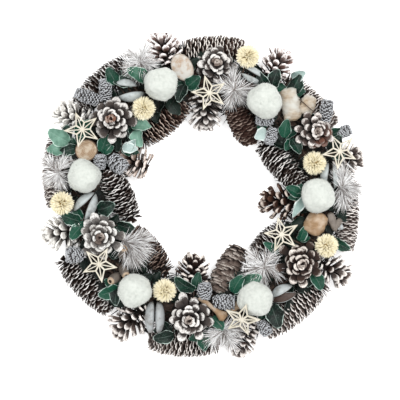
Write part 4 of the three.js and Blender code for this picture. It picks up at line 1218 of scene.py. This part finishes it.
def add_pod(pile, matrix, length, width, draw, side, shell=SILVER, opened=False, gape=0.5, blunt=0.7):
    """Half of a split pod, or an open one."""
    rows, sides = 13, 14
    points, along, across = [], [], []
    for r in range(rows):
        t = r / (rows - 1)
        half = width / 2 * max(0.03, math.sin(math.pi * (0.02 + 0.96 * t))) ** blunt
        for k in range(sides):
            turn = TAU * k / sides
            y, z = math.cos(turn) * half, math.sin(turn) * half
            if opened:
                z *= 0.25 if z > 0 else 0.8
            else:
                y *= 0.45 if y < 0 else 1 + 0.1 * math.cos(3 * turn)
            arch = POD_ARCH * length * math.sin(math.pi * t)
            points.append((t * length, side * y, z * POD_DEPTH + arch))
            along.append(t)
            across.append(math.cos(turn))
    faces = tube_faces(rows, sides)
    finishes = []
    for k in range((rows - 1) * sides):
        turn = TAU * (k % sides + 0.5) / sides
        inside = math.sin(turn) > 0.5 if opened else math.cos(turn) < -gape
        finishes.append(DARK if inside else shell)
    finishes += [shell, shell]
    if side < 0:
        faces = [list(reversed(face)) for face in faces]
    pile.add(placed(points, matrix), faces, along, across, draw.random())
    pile.finish[-len(faces):] = finishes


def side_of_partner(trims, at, turn):
    """Which side of a pod is its round back: the one away from the nearest other pod."""
    others = [Vector(spot) - Vector(at) for kind, spot, *_ in trims if "pod" in kind and spot != at]
    nearest = min(others, key=lambda gap: gap.length)
    left = heading(turn + 90)
    return 1 if nearest.dot(left.xy) < 0 else -1


print(f"half a pod has {len(tube_faces(13, 14))} faces")

# %% [markdown]
# The pieces of wood are stacks of uneven rings too, and ridged noise gives them their worn edges. A slice of
# a branch has growth rings on both faces, which its finish draws, and uneven bark round its side.

# %% Wood
SLICE_THICKNESS, SLICE_CROWN = 8, 0.5


def add_lump(pile, matrix, length, width, draw, finish, profile, rough, sides=14, rows=11, flat=1.0):
    """Rounded length of wood, whose half width follows the profile."""
    away = drawn_vector(draw, 9)
    points, along = [], []
    for r in range(rows):
        t = r / (rows - 1)
        for k in range(sides):
            turn = TAU * k / sides
            way = Vector((t * length / width * 2, math.cos(turn), math.sin(turn)))
            ridge = noise.ridged_multi_fractal(way * 0.8 + away, 1, 2, 2, 1, 2)
            half = width / 2 * profile(t) * (1 + rough * (ridge - 1))
            points.append((t * length, half * math.cos(turn), half * math.sin(turn) * flat))
            along.append(t)
    pile.add(placed(points, matrix), tube_faces(rows, sides), along, [0.0] * len(along), draw.random(),
             finish)


def add_slice(pile, matrix, length, width, draw, finish):
    """Cut branch: both faces, and the side between them."""
    sides, rings = 24, 7
    points, along, across = [], [], []
    turns = [TAU * k / sides for k in range(sides)]
    bark = [1 + 0.05 * noise.noise(Vector((math.cos(turn), math.sin(turn), length))) for turn in turns]
    for side in (1, -1):
        for r in range(rings):
            share = max(0.02, r / (rings - 1))
            height = side * (SLICE_THICKNESS / 2 - SLICE_CROWN * share ** 6)
            for turn, swell in zip(turns, bark):
                reach = share * swell
                x, y = length / 2 * reach * math.cos(turn), width / 2 * reach * math.sin(turn)
                points.append((x, y, height))
                along.append(0.9 if r == rings - 1 else 0.1)
                across.append(share)
    size = rings * sides
    top = grid_faces(rings, sides, closed=True)
    faces = [list(reversed(face)) for face in top] + [[size + i for i in face] for face in top]
    edge = (rings - 1) * sides
    faces += [[edge + k, edge + (k + 1) % sides, size + edge + (k + 1) % sides, size + edge + k]
              for k in range(sides)]
    faces += [list(reversed(range(sides))), [size + k for k in range(sides)]]
    faces = [list(reversed(face)) for face in faces]
    pile.add(placed(points, matrix), faces, along, across, draw.random(), finish)


print(f"a slice is {SLICE_THICKNESS} mm thick")

# %% [markdown]
# A gumnut is a woody cup. Its outline goes up the outside, over the lip and down into the hole, and is
# turned round the axis. The outside is brown and the lip is lighter. The hole is painted dark with the pods'
# inside finish, as painted shade in the recess.

# %% Gumnuts
# Share of the half width, and share of the length.
NUT_OUTLINE = ((0.05, 0), (0.6, 0.04), (0.95, 0.3), (1.0, 0.6), (0.8, 0.9), (0.55, 1.0),
               (0.36, 0.98), (0.3, 0.9), (0.28, 0.55), (0.05, 0.5))
NUT_SIDES = 16
LIP_ROW, HOLE_ROW = 4, 6


def add_gumnut(pile, matrix, length, width, draw):
    """Woody cup with a dark hole in its flat top."""
    points = []
    for share, t in NUT_OUTLINE:
        reach = share * width / 2
        for k in range(NUT_SIDES):
            turn = TAU * k / NUT_SIDES
            points.append((t * length, reach * math.cos(turn), reach * math.sin(turn)))
    faces = tube_faces(len(NUT_OUTLINE), NUT_SIDES)
    outside, lip = LIP_ROW * NUT_SIDES, (HOLE_ROW - LIP_ROW) * NUT_SIDES
    hole = len(faces) - 2 - outside - lip
    pile.add(placed(points, matrix), faces, [0.5] * len(points), [0.0] * len(points), draw.random())
    # Painted shade: the hole gets the dark inside finish, for the shade in its recess.
    pile.finish[-len(faces):] = [NUT] * outside + [TAN] * lip + [DARK] * hole + [NUT, DARK]


print(f"a gumnut has {len(tube_faces(len(NUT_OUTLINE), NUT_SIDES))} faces")

# %% [markdown]
# One function picks the builder for each kind of trim. Husks, a knob and the chips of wood are all lumps,
# and the stick is a lump with a knuckle near one end.

# %% Kinds of trim
TRIM_HEIGHT, TRIM_LEAN = 49, 0.12
SLICE_LIFT, NUT_LIFT, WIRE_LIFT = 2, 4, 10
OLD_POD_SHAPE, POD_SHAPE = (0.9, 0.42), (0.5, 0.7)


def stick_profile(t):
    return 0.55 + 0.1 * math.cos(7 * t) + 0.5 * math.exp(-((t - 0.88) / 0.1) ** 2)


def lump_profile(t):
    return (0.82 + 0.18 * math.sin(math.pi * t)) * min(1, 7 * t + 0.5, 7 * (1 - t) + 0.45)


def add_trim(pile, kind, at, length, width, turn, draw, trims):
    along = heading(turn) + Vector((0, 0, TRIM_LEAN))
    start = on_plan(at, TRIM_HEIGHT) - heading(turn) * (length / 2)
    lie = basis(start, along, (0, 0, 1))
    if "pod" in kind:
        old = kind == "old pod"
        gape, blunt = OLD_POD_SHAPE if old else POD_SHAPE
        add_pod(pile, lie, length * 1.05, width * POD_FULLNESS, draw, side_of_partner(trims, at, turn),
                WEATHERED if old else SILVER, kind == "open pod", gape, blunt)
    elif kind == "seed":
        seed_cone(pile, start, along, length * 1.1, width * 1.15, draw, SEED)
    elif "slice" in kind:
        middle = Matrix.Translation(on_plan(at, TRIM_HEIGHT + SLICE_LIFT))
        flat = middle @ Matrix.Rotation(math.radians(turn), 4, "Z")
        add_slice(pile, flat, length, width, draw, BLEACHED if kind == "bleached slice" else SLICE)
    elif kind == "gumnut":
        leaning = heading(turn) * 0.8 + Vector((0, 0, 1))
        root = on_plan(at, TRIM_HEIGHT + NUT_LIFT) - leaning * length * 0.5
        add_gumnut(pile, basis(root, leaning, (1, 0, 0)), length, width, draw)
    elif kind == "wire":
        lifted = start + Vector((0, 0, WIRE_LIFT))
        add_rod(pile, lifted, lifted + heading(turn) * length, width, TWIG)
    elif kind == "stick":
        add_lump(pile, lie, length, width, draw, TAN, stick_profile, 0.1)
    else:
        add_lump(pile, lie, length, width, draw, LUMP_FINISHES.get(kind, PALE), lump_profile, 0.26,
                 sides=18, rows=15, flat=0.62)


print("kinds of trim: pod, open pod, old pod, seed, slice, gumnut, wire, stick and lumps")

# %% Where the trims lie
# Each trim: kind, place of its middle, length, width and heading.
TRIM_CLUSTERS = [
    [("seed", (154, 103.5), 27, 17, 80), ("seed", (175, 80), 17, 15, 20), ("pod", (154, 26), 29, 11, 80),
     ("pod", (164, 24), 29, 11, 94)],
    [("chunk", (110, 115), 42, 25, 100), ("chunk", (131, 114), 25, 19, 70),
     ("wire", (130, 112), 28, 1.1, 319), ("seed", (79, 95), 20, 15, 180), ("seed", (86, 77), 20, 15, 250),
     ("pod", (65, 154), 30, 8.5, 150), ("pod", (61.5, 147.5), 27, 8.5, 155)],
    [("bleached slice", (-26, 161), 36, 26, 117), ("pod", (-96, 139), 27, 11, 175),
     ("pod", (-89, 127), 32, 14, 190), ("seed", (-122, 131), 25, 16, 95), ("seed", (-142, 123), 30, 17, 160)],
    [("slice", (-146, 57), 28, 27, 30), ("seed", (-109, 42), 22, 21, 320), ("seed", (-129, 41), 17, 16, 90),
     ("pod", (-148, -7), 32, 12, 223), ("pod", (-141, -13), 34, 12, 248)],
    [("seed", (-159, -74), 20, 20, 180), ("gumnut", (-100, -69), 22, 12, 70),
     ("gumnut", (-98, -96), 22, 12, 300), ("gumnut", (-112, -104), 22, 13, 215)],
    [("old pod", (-64, -151), 37, 12.5, 268), ("old pod", (-56.4, -151), 37, 12.5, 270),
     ("seed", (2, -121), 19, 18, 90), ("seed", (24, -133), 25, 20, 0), ("stick", (12, -140), 42, 13, 321),
     ("tan", (41, -138), 14, 11, 20)],
    [("seed", (76, -164), 18, 15, 300), ("pod", (98, -120), 29, 13, 29), ("open pod", (101, -127), 29, 9, 18),
     ("tan", (141, -34), 30, 26, 60), ("husk", (162, -31), 22, 10, 110), ("husk", (168, -36), 18, 8, 60),
     ("knob", (172, -39), 8, 7, 20)],
]
TWIG_THICKNESS, TRIM_STEM_RADIUS = 2.2, 150
for number, trims in enumerate(TRIM_CLUSTERS, 1):
    draw = random.Random(f"trims{number}")
    pile = Pile()
    roots = []
    for kind, at, length, width, turn in trims:
        add_trim(pile, kind, at, length, width, turn, draw, trims)
        root = on_plan(at, TRIM_HEIGHT + 1)
        add_rod(pile, stem_point(root, TRIM_STEM_RADIUS), root, TWIG_THICKNESS, TWIG)
        roots.append(root)
    add_stem(pile, roots, TRIM_STEM_RADIUS, TWIG)
    tie(pile.make(f"trims_{number}", *TRIM_FINISHES), f"trim_cluster_{number}")

# %% [markdown]
# ## Needle sprays
#
# Tufts of frosted needles fill the last gaps. Each needle is a long thin bristle with a slight bend. They
# start from a short twig end and fan out low over their neighbours.

# %% Sprays
# Each spray: place, reach, the way it faces, the angle of its fan, and its number of needles.
NEEDLE_SPRAYS = [((-79, 167), 30, 130, 360, 600), ((39, 133), 33, 90, 360, 460),
                 ((174, 12), 36, 0, 230, 460), ((76, -88), 33, 270, 360, 420),
                 ((26, -168), 34, 285, 250, 560), ((-97, -58), 42, 330, 125, 640),
                 ((-182, 30), 30, 180, 320, 520)]
SPRAY_HEIGHT, SPRAY_TWIG, TWIG_SPREAD = 50, 1.1, 75
NEEDLE_THICKNESS, NEEDLE_LEAN = 0.7, 0.75


def needle_spray(number, at, reach, facing, fan, count):
    """Short twigs that fan out from one root, each with needles that lean forward along it."""
    draw = random.Random(f"needles{number}")
    pile = Pile()
    root = on_plan(at, SPRAY_HEIGHT)
    twigs = []
    twig_count = max(3, round(fan / TWIG_SPREAD))
    for k in range(twig_count):
        turn = facing + ((k + 0.5) / twig_count - 0.5) * fan + draw.uniform(-14, 14)
        way = (heading(turn) + Vector((0, 0, draw.uniform(0.0, 0.35)))).normalized()
        twigs.append((way, reach * draw.uniform(0.35, 0.5)))
        add_rod(pile, root - way * 2, root + way * twigs[-1][1], SPRAY_TWIG)
    for _ in range(count):
        way, length = draw.choice(twigs)
        share = draw.uniform(-0.3, 0.9)
        lean = Vector((draw.uniform(-1, 1), draw.uniform(-1, 1), draw.uniform(-0.35, 0.75)))
        add_spike(pile, root + way * length * share, way + lean * NEEDLE_LEAN,
                  reach * draw.uniform(0.5, 0.75), NEEDLE_THICKNESS, draw.random(),
                  bend=draw.uniform(-0.15, 0.08))
    foot = Vector(at).normalized() * RING_RADIUS
    add_rod(pile, on_plan(foot, RING_TOP), root, TWIG_THICKNESS, 1)
    return pile.make(f"needles_{number}", NEEDLES, VINE)


for number, spray in enumerate(NEEDLE_SPRAYS, 1):
    tie(needle_spray(number, *spray), f"needle_spray_{number}")

# %% [markdown]
# ## Floor, light and camera
#
# The wreath lies on a plain pale floor that glows a little, so that it stays white. Two large soft lamps
# hang above it on either side.

# %% Floor and lamps
FLOOR_SIZE, FLOOR_GAP, FLOOR_GLOW = 8.0, 0.0005, 0.45
FLOOR_COLOUR, WHITE = (0.95, 0.95, 0.95, 1), (1, 1, 1, 1)
SKY_STRENGTH = 1.0
LAMPS = {"key_lamp": ((0.6, 0.45, 2.0), 0.8, 34), "fill_lamp": ((-0.9, -0.3, 1.7), 1.4, 12)}

bpy.ops.mesh.primitive_plane_add(size=FLOOR_SIZE, location=(0, 0, -FLOOR_GAP))
floor = bpy.context.object
floor.name = "studio_floor"
floor_tree = Tree("studio_floor_paint", roughness=0.9, specular=0.1)
floor_tree.shader.inputs["Base Color"].default_value = FLOOR_COLOUR
floor_tree.shader.inputs["Emission Color"].default_value = WHITE
floor_tree.shader.inputs["Emission Strength"].default_value = FLOOR_GLOW
floor.data.materials.append(floor_tree.material)

world = bpy.data.worlds.new("studio")
world.use_nodes = True
world.node_tree.nodes["Background"].inputs["Color"].default_value = WHITE
world.node_tree.nodes["Background"].inputs["Strength"].default_value = SKY_STRENGTH
bpy.context.scene.world = world

for name, (place, size, power) in LAMPS.items():
    light = bpy.data.lights.new(name, "AREA")
    light.size, light.energy = size, power
    lamp = bpy.data.objects.new(name, light)
    lamp.location = place
    lamp.rotation_euler = (-Vector(place)).to_track_quat("-Z", "Y").to_euler()
    bpy.context.collection.objects.link(lamp)
bpy.context.scene.view_settings.view_transform = "Standard"
print(f"{len(LAMPS)} lamps over a floor of {FLOOR_SIZE:.0f} m")

# %% [markdown]
# The camera looks straight down from far away, as in a product photograph, with a long lens.

# %% Camera
CAMERA_HEIGHT, LENS, CLIP_END = 2.2, 154.5, 30
VIEW_X, VIEW_Y = -3.75, -5.0
camera_data = bpy.data.cameras.new("camera")
camera_data.lens = LENS
camera_data.clip_end = CLIP_END
camera = bpy.data.objects.new("camera", camera_data)
camera.location = ((HOLE_X + VIEW_X) * MM, (HOLE_Y + VIEW_Y) * MM, CAMERA_HEIGHT)
bpy.context.collection.objects.link(camera)
bpy.context.scene.camera = camera
print(f"camera {CAMERA_HEIGHT} m up with a {LENS} mm lens")
